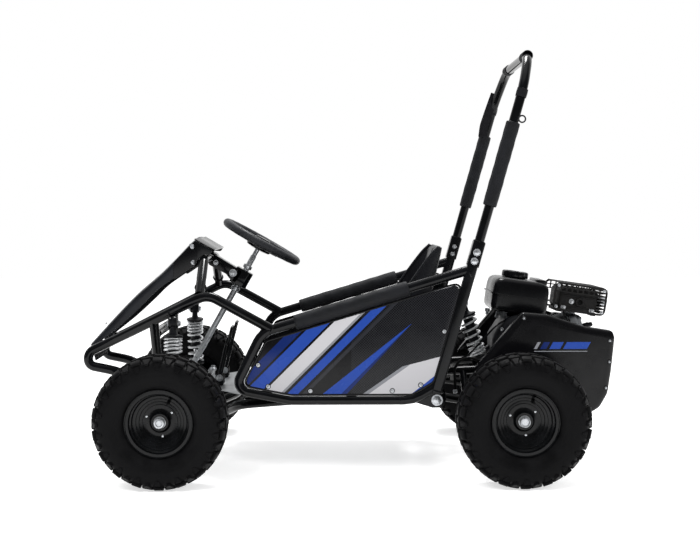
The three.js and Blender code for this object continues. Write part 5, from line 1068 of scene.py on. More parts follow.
class KART_OT_pads(bpy.types.Operator):
    """Wrap the foam pads around the side rails and the roll bar"""
    bl_idname = "kart.pads"
    bl_label = "Foam pads"

    def execute(self, context):
        rail, roll, bore = sizes().rail_pad * 1000, sizes().roll_pad * 1000, 12.6
        for side, name in SIDES:
            y = side * RAIL_Y
            runs = (
                (f"rail_pad_{name}", (327, y, hoop_z(327)), (616, y, hoop_z(616)), rail, (0.12, 0, 1)),
                (f"roll_pad_{name}", on_upright(y, 694), on_upright(y, 906), roll, (1, 0, 0)),
            )
            for node_name, start, end, size, lean in runs:
                start, end = np.array(start), np.array(end)
                share = np.concatenate([[0, 0, 0.004, 0.012, 0.02], np.linspace(0.03, 0.97, 90),
                                        [0.98, 0.988, 0.996, 1, 1]])
                close = np.array([bore, 16.6, 18.6, 19.5, 19.8])
                reach = np.concatenate([close, np.full(90, 20.0), close[::-1]]) * size / 40
                reach[0] = reach[-1] = bore
                angle = 2 * np.pi * np.arange(40) / 40
                # Creases: the foam gives a little where the cover is pulled round it, in slow uneven waves.
                wave = 0.25 * np.sin(share[:, None] * 41 + 3 * np.sin(angle)) + 0.2 * np.sin(
                    share[:, None] * 17 + 2 * angle)
                seam = -1.5 * np.exp(-((angle - 4.4) / 0.09) ** 2)
                body = (reach > 15 * size / 40)[:, None]
                radius = np.clip(reach[:, None] + (wave + seam) * body - 0.45 * body, bore, size / 2)
                profile = np.stack([radius * np.cos(angle), radius * np.sin(angle)], -1)
                path = start + (end - start) * share[:, None]
                direction = unit(end - start)
                across = unit(np.cross(direction, lean))
                rise = np.cross(across, direction)
                points = path[:, None] + profile[..., :1] * across + profile[..., 1:] * rise
                pad = piece(f"{node_name}_foam", {"foam_skin": [grid(points)]}, "chassis", [node_name],
                            50)
        return {"FINISHED"}


class KART_OT_tyres(bpy.types.Operator):
    """Mould the four knobbly tyres"""
    bl_idname = "kart.tyres"
    bl_label = "Tyres"

    def execute(self, context):
        knob = sizes().knob * 1000
        pitches = sizes().pitches
        # Right half of the carcass from the bead to the crown: radius and distance from the middle plane.
        half = np.array([(75.2, 44), (84.8, 44.2), (87.5, 47.4), (89.5, 51.8), (93, 53.2), (94.5, 56.2), (97, 57.2),
                         (99.5, 57), (105, 60), (118, 63.2), (131, 62.8), (142, 59.6), (149.5, 54), (153.6, 46),
                         (155.4, 34), (156, 18), (156, 0)])
        length = np.insert(np.cumsum(np.linalg.norm(np.diff(half, axis=0), axis=1)), 0, 0)
        fine = np.linspace(length[1], length[-1], 46)
        smooth = np.stack([np.interp(fine, length, half[:, k]) for k in (0, 1)], 1)
        kernel = np.array([0.25, 0.5, 0.25])
        for k in (0, 1):
            smooth[2:-1, k] = np.convolve(smooth[:, k], kernel, "same")[2:-1]
        section = np.concatenate([half[:1], smooth])
        whole = np.concatenate([section, (section * (1, -1))[-2::-1]])
        path = np.insert(np.cumsum(np.linalg.norm(np.diff(whole, axis=0), axis=1)), 0, 0)
        crown = path[len(section) - 1]
        out = unit(np.stack([np.gradient(whole[:, 1]), -np.gradient(whole[:, 0])], 1)) * -1

        def lugs(angle, across, shape, wide, tall, rise):
            """Rounded blocks over the carcass. A block is an outline of shares, wide around the tyre in degrees and
            tall across it in millimetres, carried up the carcass' own normal in three shrinking rows and a lid."""
            rows = np.array([(1.0, -1.5), (0.97, rise * 0.55), (0.86, rise * 0.94), (0.72, rise)])
            turn = angle[:, None, None] + shape[:, 0] * np.radians(wide) / 2 * rows[:, :1]
            spot = crown + across + shape[:, 1] * tall / 2 * rows[:, :1]
            spot = np.broadcast_to(spot, turn.shape)
            lift = rows[:, 1:]
            radius = np.interp(spot, path, whole[:, 0]) + lift * np.interp(spot, path, out[:, 0])
            width = np.interp(spot, path, whole[:, 1]) + lift * np.interp(spot, path, out[:, 1])
            radius = np.minimum(radius, 164.9)
            width = np.clip(width, -63.4, 63.4)
            points = np.stack([radius * np.sin(turn), width, radius * np.cos(turn)], -1)
            return [grid(block_points) for block_points in points]

        oblong = rect(-1, -1, 1, 1, 0.28, 3)
        wedge = rounded([(-1, -1), (1, -1), (0.45, 1), (-0.45, 1)], 0.2, 3)
        chevron = rounded([(-1, -0.55), (0, -1), (1, -0.55), (1, 0.55), (0, 1), (-1, 0.55)], 0.2, 3)
        step = 2 * np.pi / pitches
        turns = np.arange(pitches) * step
        forms = [lathe(whole, (0, 0, 0), (0, 1, 0), 144, wrap=True)]
        forms += lugs(turns, 0, chevron, 11.5, 30, knob)
        forms += lugs(turns + step / 2, 0, oblong, 4.2, 22, knob * 0.8)
        for side in (-1, 1):
            mirror = (1, side)
            forms += lugs(turns + step / 2, side * 27, oblong, 11.0, 17, knob)
            forms += lugs(turns, side * 46, oblong, 9.5, 17, knob)
            forms += lugs(turns + step / 2, side * 50, wedge * mirror, 8.4, 24, knob * 0.7)
            forms += lugs(turns, side * 64, wedge * mirror, 6.6, 15, knob * 0.42)
        for end, x in ENDS:
            for side, name in SIDES:
                placed = [(points + (x, side * WHEEL_Y, AXLE_Z), faces) for points, faces in forms]
                piece(f"tyre_{end}_{name}_tread", {"knob_rubber": placed}, wheel_body(end, name),
                      [f"tyre_{end}_{name}"], 30)
        return {"FINISHED"}


class KART_OT_rims(bpy.types.Operator):
    """Press the four stepped rims and fit their nuts"""
    bl_idname = "kart.rims"
    bl_label = "Rims"

    def execute(self, context):
        front_bore, rear_bore = 9.6, 10.6
        # Outer face from the flange down to the hub: radius and distance outwards.
        face = [(84, 44.8), (84.2, 47), (83, 48), (81.4, 47.4), (80.6, 45), (80, 41.6), (78.6, 39.4), (75.6, 38.4),
                (74, 36.4), (73.4, 32.6), (72, 30.4), (69.2, 29.4), (67.8, 27.6), (67.2, 24.6), (65.6, 22.6),
                (63, 21.6), (60, 21.2), (59, 20.6), (58.4, 19), (57.4, 18.2), (53, 17.4), (51.6, 16.8), (51, 14.6),
                (50, 13.8), (44.6, 12.8), (43.4, 12.2), (42.8, 10.6), (41.6, 9.9), (34, 9.2),
                (27, 9.6), (24, 12), (23, 16), (21, 22), (front_bore, 22)]
        back = [(front_bore, -34), (21, -34), (21, -8), (24, -4), (34, 5.8), (42, 7), (50, 10.6), (58, 15.6),
                (64, 17.4), (66, 0), (66, -26), (70, -42), (78, -46), (83, -48), (84.2, -47), (84, -44.8), (74, -44.4),
                (73, -38), (70, -26), (70, 10), (73.6, 38), (74, 44.4)]
        for end, x in ENDS:
            bore = front_bore if end == "front" else rear_bore
            for side, name in SIDES:
                profile = np.array(face + back, float)
                profile[profile[:, 0] == front_bore, 0] = bore
                centre = np.array((x, side * WHEEL_Y, AXLE_Z))
                forms = [lathe(profile, centre, (0, side, 0), 96, wrap=True)]
                steel = []
                stem = centre + (12 * side, 0, 0) + np.array((math.sin(0.6) * 58, side * 20, math.cos(0.6) * 58))
                rubber = [lathe([(0, -6), (4, -6), (4, 4), (3, 12), (2.6, 16), (2.6, 24), (0, 24)], stem,
                                (0, side, 0), 14)]
                for turn in (0.9, 2.99, 5.09):
                    spot = centre + (math.sin(turn) * 36, side * 9.0, math.cos(turn) * 36)
                    steel += [lathe([(0, 2), (2.6, 1.4), (3.4, 0), (0, 0)], spot, (0, side, 0), 14)]
                piece(f"rim_{end}_{name}_pressing",
                      {"rim_enamel": forms, "knob_rubber": rubber, "zinc_plate": steel}, wheel_body(end, name),
                      [f"rim_{end}_{name}"])
        return {"FINISHED"}


class KART_OT_front_axle(bpy.types.Operator):
    """Weld up the front arms and knuckles, with their hub nuts and tie rods"""
    bl_idname = "kart.front_axle"
    bl_label = "Front axle"

    def execute(self, context):
        for side, name in SIDES:
            pin_y, arm_y, out = side * KINGPIN_Y, side * 292, side * 286
            forms, steel = [], []
            for end in (-ARM_X, ARM_X):
                forms.append(tube([(end, side * ARM_Y, AXLE_Z), (end * 0.1, out, AXLE_Z)], 18, 0, 28))
                forms.append(lathe(collar(5.4, 9.6, 11, 12.8, 14), (end, side * ARM_Y, AXLE_Z), (1, 0, 0), 32, True))
                forms.append(weld((end * 0.84, side * 130, AXLE_Z), (-end * 0.9, side * 186, 0), 9.0, 2.0))
            forms.append(block((-15, out, 128), (15, out + side * 8, 202), 5, 0.8, 0))
            angle = np.radians(np.linspace(0, 180, 13))
            nose = [(9 * math.cos(a), pin_y + side * 9 * math.sin(a)) for a in angle]
            plate = [(-15, out), (15, out), *nose]
            plate = plate if side > 0 else plate[::-1]
            for face in (-1, 1):
                near = AXLE_Z + face * 31
                forms.append(slab(plate, near, near + face * 6, 0.7, 2))
                steel.append(lathe([(0, 6.5), (4.4, 6.5), (5.6, 5.4), (5.6, 0), (7.4, 0), (7.4, -1), (0, -1)],
                                   (0, pin_y, AXLE_Z + face * 37), (0, 0, face), 6 if face > 0 else 24))
            for face in (-1, 1):
                near, far = 14 + face * 8.3, 14 + face * 12.3
                ear = rounded([(side * 262 - 13, 168), (side * 262 + 13, 168), (side * 262 + 11, 208),
                               (side * 262, 213), (side * 262 - 11, 208)], 6)
                forms.append(slab(ear, near, far, 0.7, 0))
                steel += bolt((14 + face * 12.3, side * 262, 203), (face, 0, 0), 8)
            steel.append(tube([(2, side * 262, 203), (26, side * 262, 203)], 9.6))
            steel.append(tube([(0, pin_y, 128), (0, pin_y, 202)], 9.8))
            piece(f"front_arm_{name}_weldment", {"frame_enamel": forms, "zinc_plate": steel}, f"arm_{name}",
                  [f"front_arm_{name}"])

            forms = [lathe(collar(5.6, 11, 12, 29.4, 30.6), (0, pin_y, AXLE_Z), (0, 0, 1), 36, True),
                     lathe([(0, 10), (12, 10), (12, 25), (9, 27), (9, 58), (0, 58)], (0, pin_y, AXLE_Z),
                           (0, side, 0), 36),
                     tube([(2, pin_y - side * 2, 184), (40, side * 299, 190), (62, arm_y, 193)], 12, 20),
                     weld((0, pin_y + side * 12, AXLE_Z), (0, side, 0), 12.0, 2.0)]
            head = (0, side * NUT_Y, AXLE_Z)
            steel = [lathe([(0, 58), (8.6, 58), (8.6, 94), (7.8, 95.4), (0, 95.4)], (0, pin_y, AXLE_Z),
                           (0, side, 0), 28),
                     lathe([(0, 7), (6.4, 7), (7, 14.4), (8.6, 16), (12, 15.4), (13.4, 13), (13.4, 3), (15, 2), (15, 0),
                            (0, 0)], head, (0, side, 0), 40),
                     lathe([(0, 0), (4.6, 0), (4.6, 23), (3.6, 24), (0, 24)], (62, arm_y, 192), (0, 0, 1), 24),
                     lathe([(4.4, 0), (6.6, 0), (6.6, 4.6), (4.4, 4.6)], (62, arm_y, 211.6), (0, 0, 1), 6, True)]
            piece(f"knuckle_{name}_weldment", {"frame_enamel": forms, "zinc_plate": steel}, f"hub_{name}",
                  [f"knuckle_{name}"])

            rod_z = 205.4
            start, end = np.array((62, arm_y, rod_z)), np.array((35.15, side * 19, rod_z))
            heading = unit(end - start)
            length = np.linalg.norm(end - start)
            rod = [(4.6, 10), (6, 11), (6, 24), (4.2, 25), (4.2, 34), (6, 36), (6, length - 40), (4.2, length - 38),
                   (4.2, length - 30), (6, length - 29), (6, length - 4), (0, length)]
            forms = [lathe([(0, 10), *rod], start, heading, 28),
                     lathe(collar(5.4, 8.4, 10.8, 2.8, 5.4), start, (0, 0, 1), 36, True),
                     lathe([(0, 0), (4, 0), (4, 38), (3, 39), (0, 39)], end, (0, 0, -1), 24)]
            for place in (28, length - 35):
                forms.append(lathe([(4, 0), (8.2, 0), (8.6, 0.8), (8.6, 5), (8.2, 5.6), (4, 5.6)],
                                   start + heading * place, heading, 6, True))
            piece(f"tie_rod_{name}_turned", {"zinc_plate": forms}, f"link_{name}", [f"tie_rod_{name}"])
        return {"FINISHED"}


class KART_OT_steering(bpy.types.Operator):
    """Turn the steering column, and build its wheel with grip, spokes and hub cone"""
    bl_idname = "kart.steering"
    bl_label = "Steering"

    def execute(self, context):
        zero = column_at(0)

        def on_column(*forms):
            return [turned(form, COLUMN_TILT, zero) for form in forms]

        shaft = lathe([(0, -80), (7.6, -80), (8, -79), (8, 330), (6.4, 333), (6.4, 352), (0, 352)], (0, 0, 0),
                      (0, 0, 1), 40)
        collars = [lathe([(8, z - 5), (11.5, z - 5), (12.4, z - 4), (12.4, z + 4), (11.5, z + 5), (8, z + 5)],
                         (0, 0, 0), (0, 0, 1), 36, True) for z in (-14, 228, 297)]
        outline = [(-16, -16), (14, -37), (60, -37), (60, 37), (14, 37), (-16, 16)]
        arm = pierced_plate(outline, [(34, y, 28, 8) for y in (-19, 19)], -80, -74)
        piece("steering_shaft", {"zinc_plate": on_column(shaft, *collars), "satin_enamel": on_column(arm)},
              "steering", ["steering_column"])

        turn = 2 * np.pi * np.arange(120) / 120
        circle = np.stack([107 * np.cos(turn), 107 * np.sin(turn), 377 + 0 * turn], 1)
        waves = 1 - 0.02 * np.abs(np.sin(10 * turn))[:, None, None]
        section = ring(20, 24.6, 23.4)[None] * waves
        grip = carried(section, circle, wrap=True, lean=(0, 0, 1))
        seam = carried(ring(6, 1.6), circle * (0.892, 0.892, 1), wrap=True, lean=(0, 0, 1))
        hub = lathe([(0, 352.4), (20, 352.4), (34, 355), (36, 358), (36, 366), (34, 369), (29, 371), (27, 374),
                     (22, 385), (20, 387.5), (0, 388)], (0, 0, 0), (0, 0, 1), 64)
        spokes, steel = [], []
        for degrees in (90, 210, 330):
            # A flat spoke that widens to the hub, with a slot pressed through it as a raised lip.
            blade = rounded([(22, -15), (70, -11), (98, -12), (98, 12), (70, 11), (22, 15)], 6, 4)
            slot = rounded([(44, -5), (84, -4), (84, 4), (44, 5)], 4, 5)
            lip = np.insert(slot, 2, 368.9, axis=1)
            for form in (slab(blade, 363.6, 368.6, 0.8, 2), carried(ring(8, 2.4), lip, wrap=True, lean=(0, 0, 1))):
                spokes.append(turned(form, degrees + 90, (0, 0, 0), (0, 0, 1)))
            spot = (29 * math.cos(math.radians(degrees + 30)), 29 * math.sin(math.radians(degrees + 30)), 370.4)
            steel += bolt(spot, (0, 0, 1), 5.5)
        piece("steering_wheel_trimmed",
              {"grip_rubber": on_column(grip, seam), "satin_enamel": on_column(*spokes),
               "gloss_plastic": on_column(hub), "zinc_plate": on_column(*steel)},
              "steering", ["steering_wheel"])
        return {"FINISHED"}


class KART_OT_dampers(bpy.types.Operator):
    """Turn the bodies and rods of the three shock absorbers"""
    bl_idname = "kart.dampers"
    bl_label = "Shock absorbers"

    def execute(self, context):
        for spring, top, foot, part, node_name in DAMPERS:
            top, foot = np.array(top, float), np.array(foot, float)
            length = np.linalg.norm(top - foot)
            heading = unit(top - foot)
            across = np.array((0, 1, 0) if spring == "rear_spring" else (1, 0, 0), float)
            low = -length + 71

            def eye(spot, bore):
                rubber = lathe(collar(bore, 9.4, 9.8, 6.6, 7.4), spot, across, 32, True)
                return rubber, lathe(collar(9.6, 11.4, 12, 7.2, 8), spot, across, 36, True)

            rubber, shell = eye(top, 5.6)
            barrel = [(6.4, low), (13.2, low), (14, low + 1.4), (14, -60)]
            for z in np.arange(-58, -37, 3.0):
                barrel += [(14.6, z), (13.6, z + 1.5)]
            barrel += [(23, -35.8), (24.8, -34.6), (25, -31.4), (23.6, -30), (15, -29), (9, -25), (8, -20), (8, -9),
                       (0, -9)]
            forms = [lathe([(0, low + 6), (6.4, low + 6), *barrel], top, heading, 48), shell]
            nut = lathe([(14.4, -41), (19.6, -41), (20.6, -40), (20.6, -37.4), (19.6, -36.4), (14.4, -36.4)], top,
                        heading, 12, True)
            piece(node_name.format("body") + "_turned",
                  {"satin_enamel": forms, "knob_rubber": [rubber], "zinc_plate": [nut]}, part.format("body"),
                  [node_name.format("body")])

            rubber, shell = eye(foot, 6.8)
            seat = [(radius, rise - length) for radius, rise in
                    ((0, 9), (8, 9), (8, 18), (14, 21), (22.6, 23.4), (25, 24.8), (25, 27.6), (23.4, 29), (9, 29.6),
                     (7.4, 38), (0, 38))]
            rod_top = low - (30 + low) * 0.45
            stem = [(0, -length + 30), (6, -length + 30), (6, rod_top), (0, rod_top)]
            piece(node_name.format("rod") + "_turned",
                  {"chrome_plate": [lathe(stem, top, heading, 36)],
                   "satin_enamel": [lathe(seat, top, heading, 48), shell], "knob_rubber": [rubber]},
                  part.format("rod"), [node_name.format("rod")])
        return {"FINISHED"}


class KART_OT_swing_arm(bpy.types.Operator):
    """Weld up the rear swing arm with its bearing housings and the engine's carrier"""
    bl_idname = "kart.swing_arm"
    bl_label = "Swing arm"

    def execute(self, context):
        forms, steel = [tube([(PIVOT_X, y, PIVOT_Z) for y in (-250.6, 250.6)], 30, 0, 36)], []
        for side in (-1, 1):
            y, carrier = side * SWING_Y, side * CARRIER_Y
            hub = (REAR_X, y, AXLE_Z)
            forms.append(tube([(PIVOT_X, y, PIVOT_Z), hub], 22))
            forms.append(tube([hub, (1052, y, 225.9)], 22))
            forms.append(weld((704, y, 194.8), (203, 0, -32), 11.2, 2.2))
            forms.append(lathe(collar(10.6, 26, 28, 8, 10), hub, (0, 1, 0), 56, True))
            steel.append(lathe(collar(10.4, 16, 18, 9.8, 11), hub, (0, 1, 0), 48, True))
            for turn in (0.8, 2.4, 3.9, 5.5):
                steel += bolt((REAR_X + 22 * math.sin(turn), y + side * 10, AXLE_Z + 22 * math.cos(turn)), (0, side, 0),
                              5, False)
            forms.append(tube([(x, carrier, z) for x, z in ((PIVOT_X, 205), (702, 249), (838, 256.5), (1055.9, 225.9))],
                              22, [0, 26, 60, 0]))
            forms.append(tube([(774, y, 183.8), (774, carrier, 252)], 18))
            forms.append(tube([(842, carrier, 275), (842, side * 224, 275)], 20))
            forms.append(weld((774, side * 178, 190), (0, -80, 65), 9.4, 2.0))
            forms.append(weld((1052, side * 176, 225.9), (0, 1, 0), 11.2, 2.0))
            steel += bolt((842, side * 223.8, 275), (0, side, 0), 6, False)
            for near, far in ((8.3, 12.3), (101, 105)):
                ear = rounded([(826, 222), (850, 222), (850, 252), (844, 261), (832, 261), (826, 252)], 8)
                forms.append(slab(ear, side * near, side * far, 0.7))
            steel += bolt((838, side * 12.3, 252), (0, side, 0), 9)
        for x, reach, z in ((702, CARRIER_Y, 249), (838, CARRIER_Y, 226), (1052, 224, 225.9)):
            forms.append(tube([(x, -reach, z), (x, reach, z)], 22))
        steel.append(tube([(838, -13, 252), (838, 13, 252)], 9.6))
        plate = rect(-68, -112, 124, 112, 10)
        forms += on_engine(slab(plate, -4.3, -0.4, 0.6, 2))
        piece("swing_arm_weldment", {"frame_enamel": forms, "zinc_plate": steel}, "swing", ["swing_arm"])

        steel = [tube([(PIVOT_X, y, PIVOT_Z) for y in (-266, 266)], 13.6)]
        for side in (-1, 1):
            steel += bolt((PIVOT_X, side * 261.8, PIVOT_Z), (0, side, 0), 12.4)
        piece("pivot_bolt_turned", {"zinc_plate": steel}, "chassis", ["pivot_bolt"])
        return {"FINISHED"}


class KART_OT_drive(bpy.types.Operator):
    """Cut the live axle, both sprockets, the chain, the clutch, the brake disc and its caliper"""
    bl_idname = "kart.drive"
    bl_label = "Chain drive and brake"

    def execute(self, context):
        hub = np.array((REAR_X, 0, AXLE_Z))
        steel = [lathe(collar(0, 8.6, 9.8, 407.6, 409), hub, (0, 1, 0), 36)]
        for side in (-1, 1):
            steel.append(lathe([(9.9, 0), (15, 0), (15, 2), (13.4, 3), (13.4, 13), (12, 15), (10.6, 15.4), (9.9, 14.6)],
                               (REAR_X, side * NUT_Y, AXLE_Z), (0, side, 0), 40, True))
            for y in AXLE_BEARINGS:
                steel.append(lathe(collar(10, 15, 16, 4, 5), (REAR_X, side * y, AXLE_Z), (0, 1, 0), 36, True))
        piece("rear_axle_turned", {"zinc_plate": steel}, "live_axle", ["rear_axle"])

        def toothed(teeth, rings):
            """A sprocket's toothed ring, in to the size of the rings inside it."""
            pitch = CHAIN_PITCH / 2 / math.sin(math.pi / teeth)
            turn = np.arange(teeth * 8) / 8
            share = np.array([0, 0.35, 1, 3, 3, 1, 0.35, 0]) - 4
            radius = pitch + share[np.arange(teeth * 8) % 8]
            angle = 2 * np.pi * turn / teeth
            outer = np.stack([radius * np.cos(angle), radius * np.sin(angle)], 1)
            inner = outer / np.linalg.norm(outer, axis=1, keepdims=True) * rings
            return annulus(outer, inner, -2, 2)

        forms = [toothed(AXLE_TEETH, 58), annulus(ring(72, 58), ring(72, 20.6), -2, 2)]
        for turn in range(6):
            spoke = rounded([(26, -9), (61, -6), (61, 6), (26, 9)], 3)
            forms.append(turned(slab(spoke, -2, 2, 0.5), turn * 60, (0, 0, 0)))
        bolts = []
        for turn in range(6):
            spot = (24.5 * math.cos(turn * math.pi / 3), 2, 24.5 * math.sin(turn * math.pi / 3))
            bolts += bolt(spot, (0, 1, 0), 5)
        place = (REAR_X, CHAIN_Y, AXLE_Z)
        piece("sprocket_cut", {"ground_steel": [moved(form, place) for form in forms],
                               "zinc_plate": [moved(form, place) for form in bolts]}, "live_axle", ["sprocket"])

        # Disc: a friction ring on an inner ring, joined by slanted bridges, with open slots between them.
        forms = [annulus(ring(96, 150), ring(96, 112), -2, 2), annulus(ring(96, 88), ring(96, 20.6), -2, 2)]
        for turn in range(12):
            bridge = rounded([(41, -5), (58, -1), (58, 7), (41, 3)], 2)
            forms.append(turned(slab(bridge, -1.9, 1.9, 0.4), turn * 30, (0, 0, 0)))
        bolts, fifth = [], 1.2566
        for turn in range(5):
            bolts += bolt((30 * math.cos(turn * fifth), -2, 30 * math.sin(turn * fifth)), (0, -1, 0), 5)
        place = (REAR_X, DISC_Y, AXLE_Z)
        piece("brake_disc_cut", {"ground_steel": [moved(form, place) for form in forms],
                                 "zinc_plate": [moved(form, place) for form in bolts]}, "live_axle", ["brake_disc"])

        outline = rect(796, 151, 842, 207, 12, 6)
        forms = [slab(outline, -173.4, -150.4, 3.0), slab(outline, -141.6, -118.6, 3.0),
                 block((796, -151, 156), (816, -141, 202), 4, 1)]
        for z in (167, 191):
            forms.append(lathe([(0, 7), (7, 7), (9.5, 4), (10, 0), (0, 0)], (822, -119, z), (0, 1, 0), 32))
        steel = []
        for z in (158, 200):
            steel += bolt((804, -118.6, z), (0, 1, 0), 6)
        piece("brake_caliper_cast", {"satin_enamel": forms, "zinc_plate": steel}, "swing", ["brake_caliper"])

        # The chain's links lie on a line drawn tight around both sprockets, a little outside their pitch circles.
        outside = 3.2
        big, small = np.array((REAR_X, AXLE_Z)), np.array((CRANK[0], CRANK[2]))
        big_r, small_r = 72.86 + outside, 20.55 + outside
        span = small - big
        length = np.linalg.norm(span)
        heading, spread = math.atan2(span[1], span[0]), math.acos((big_r - small_r) / length)
        arcs = [big + big_r * np.array((math.cos(a), math.sin(a)))
                for a in np.linspace(heading + spread, heading - spread + 2 * math.pi, 160)]
        arcs += [small + small_r * np.array((math.cos(a), math.sin(a)))
                 for a in np.linspace(heading - spread, heading + spread, 80)]
        loop = np.array([*arcs, arcs[0]])
        reach = np.insert(np.cumsum(np.linalg.norm(np.diff(loop, axis=0), axis=1)), 0, 0)
        count = 2 * round(reach[-1] / CHAIN_PITCH / 2)
        spots = np.stack([np.interp(np.arange(count + 1) * reach[-1] / count, reach, loop[:, k]) for k in (0, 1)], 1)
        forms, pins = [], []
        for i in range(count):
            a, b = spots[i], spots[i + 1]
            along = unit(b - a)
            out = np.array((-along[1], along[0]))
            pitch = np.linalg.norm(b - a)
            turn = np.radians(np.linspace(-90, 90, 7))
            end = [(pitch + 3.1 * math.cos(t), 3.1 * math.sin(t)) for t in turn]
            link = np.array(end + [(pitch / 2, 2.3)] + [(pitch - x, -y) for x, y in end] + [(pitch / 2, -2.3)])
            plate = a + link[:, :1] * along + link[:, 1:] * out
            for face in (-1, 1):
                middle = CHAIN_Y + face * (3.9 if i % 2 else 2.8)
                forms.append(slab(plate, middle - 0.5, middle + 0.5, 0.2))
            pins.append(lathe([(0, -4.5), (1.5, -4.5), (1.5, -2.2), (2.6, -2.2), (2.6, 2.2), (1.5, 2.2), (1.5, 4.5),
                               (0, 4.5)], (a[0], CHAIN_Y, a[1]), (0, 1, 0), 12))
        piece("chain_links", {"oiled_steel": forms, "ground_steel": pins}, "swing", ["chain"])

        drum = [(9.6, 84), (34, 84), (40, 86), (42, 90), (42, 124), (40, 129), (37, 133), (18, 133), (17.6, 135),
                (17.6, 136.5), (15.6, 138), (15.6, 144.6), (9.6, 144.6)]
        forms = [lathe(drum, CRANK, (0, 1, 0), 64, True),
                 moved(toothed(DRUM_TEETH, 15), (CRANK[0], CHAIN_Y, CRANK[2]))]
        dark = []
        for turn in range(5):
            a = turn * fifth
            dark.append(lathe([(0, 1.1), (4.4, 1.1), (5.2, 0.2), (5.2, -0.3), (0, -0.3)],
                              (CRANK[0] + 27 * math.cos(a), 133, CRANK[2] + 27 * math.sin(a)), (0, 1, 0), 20))
        piece("clutch_drum", {"ground_steel": forms, "satin_enamel": dark}, "drum", ["clutch"])
        return {"FINISHED"}


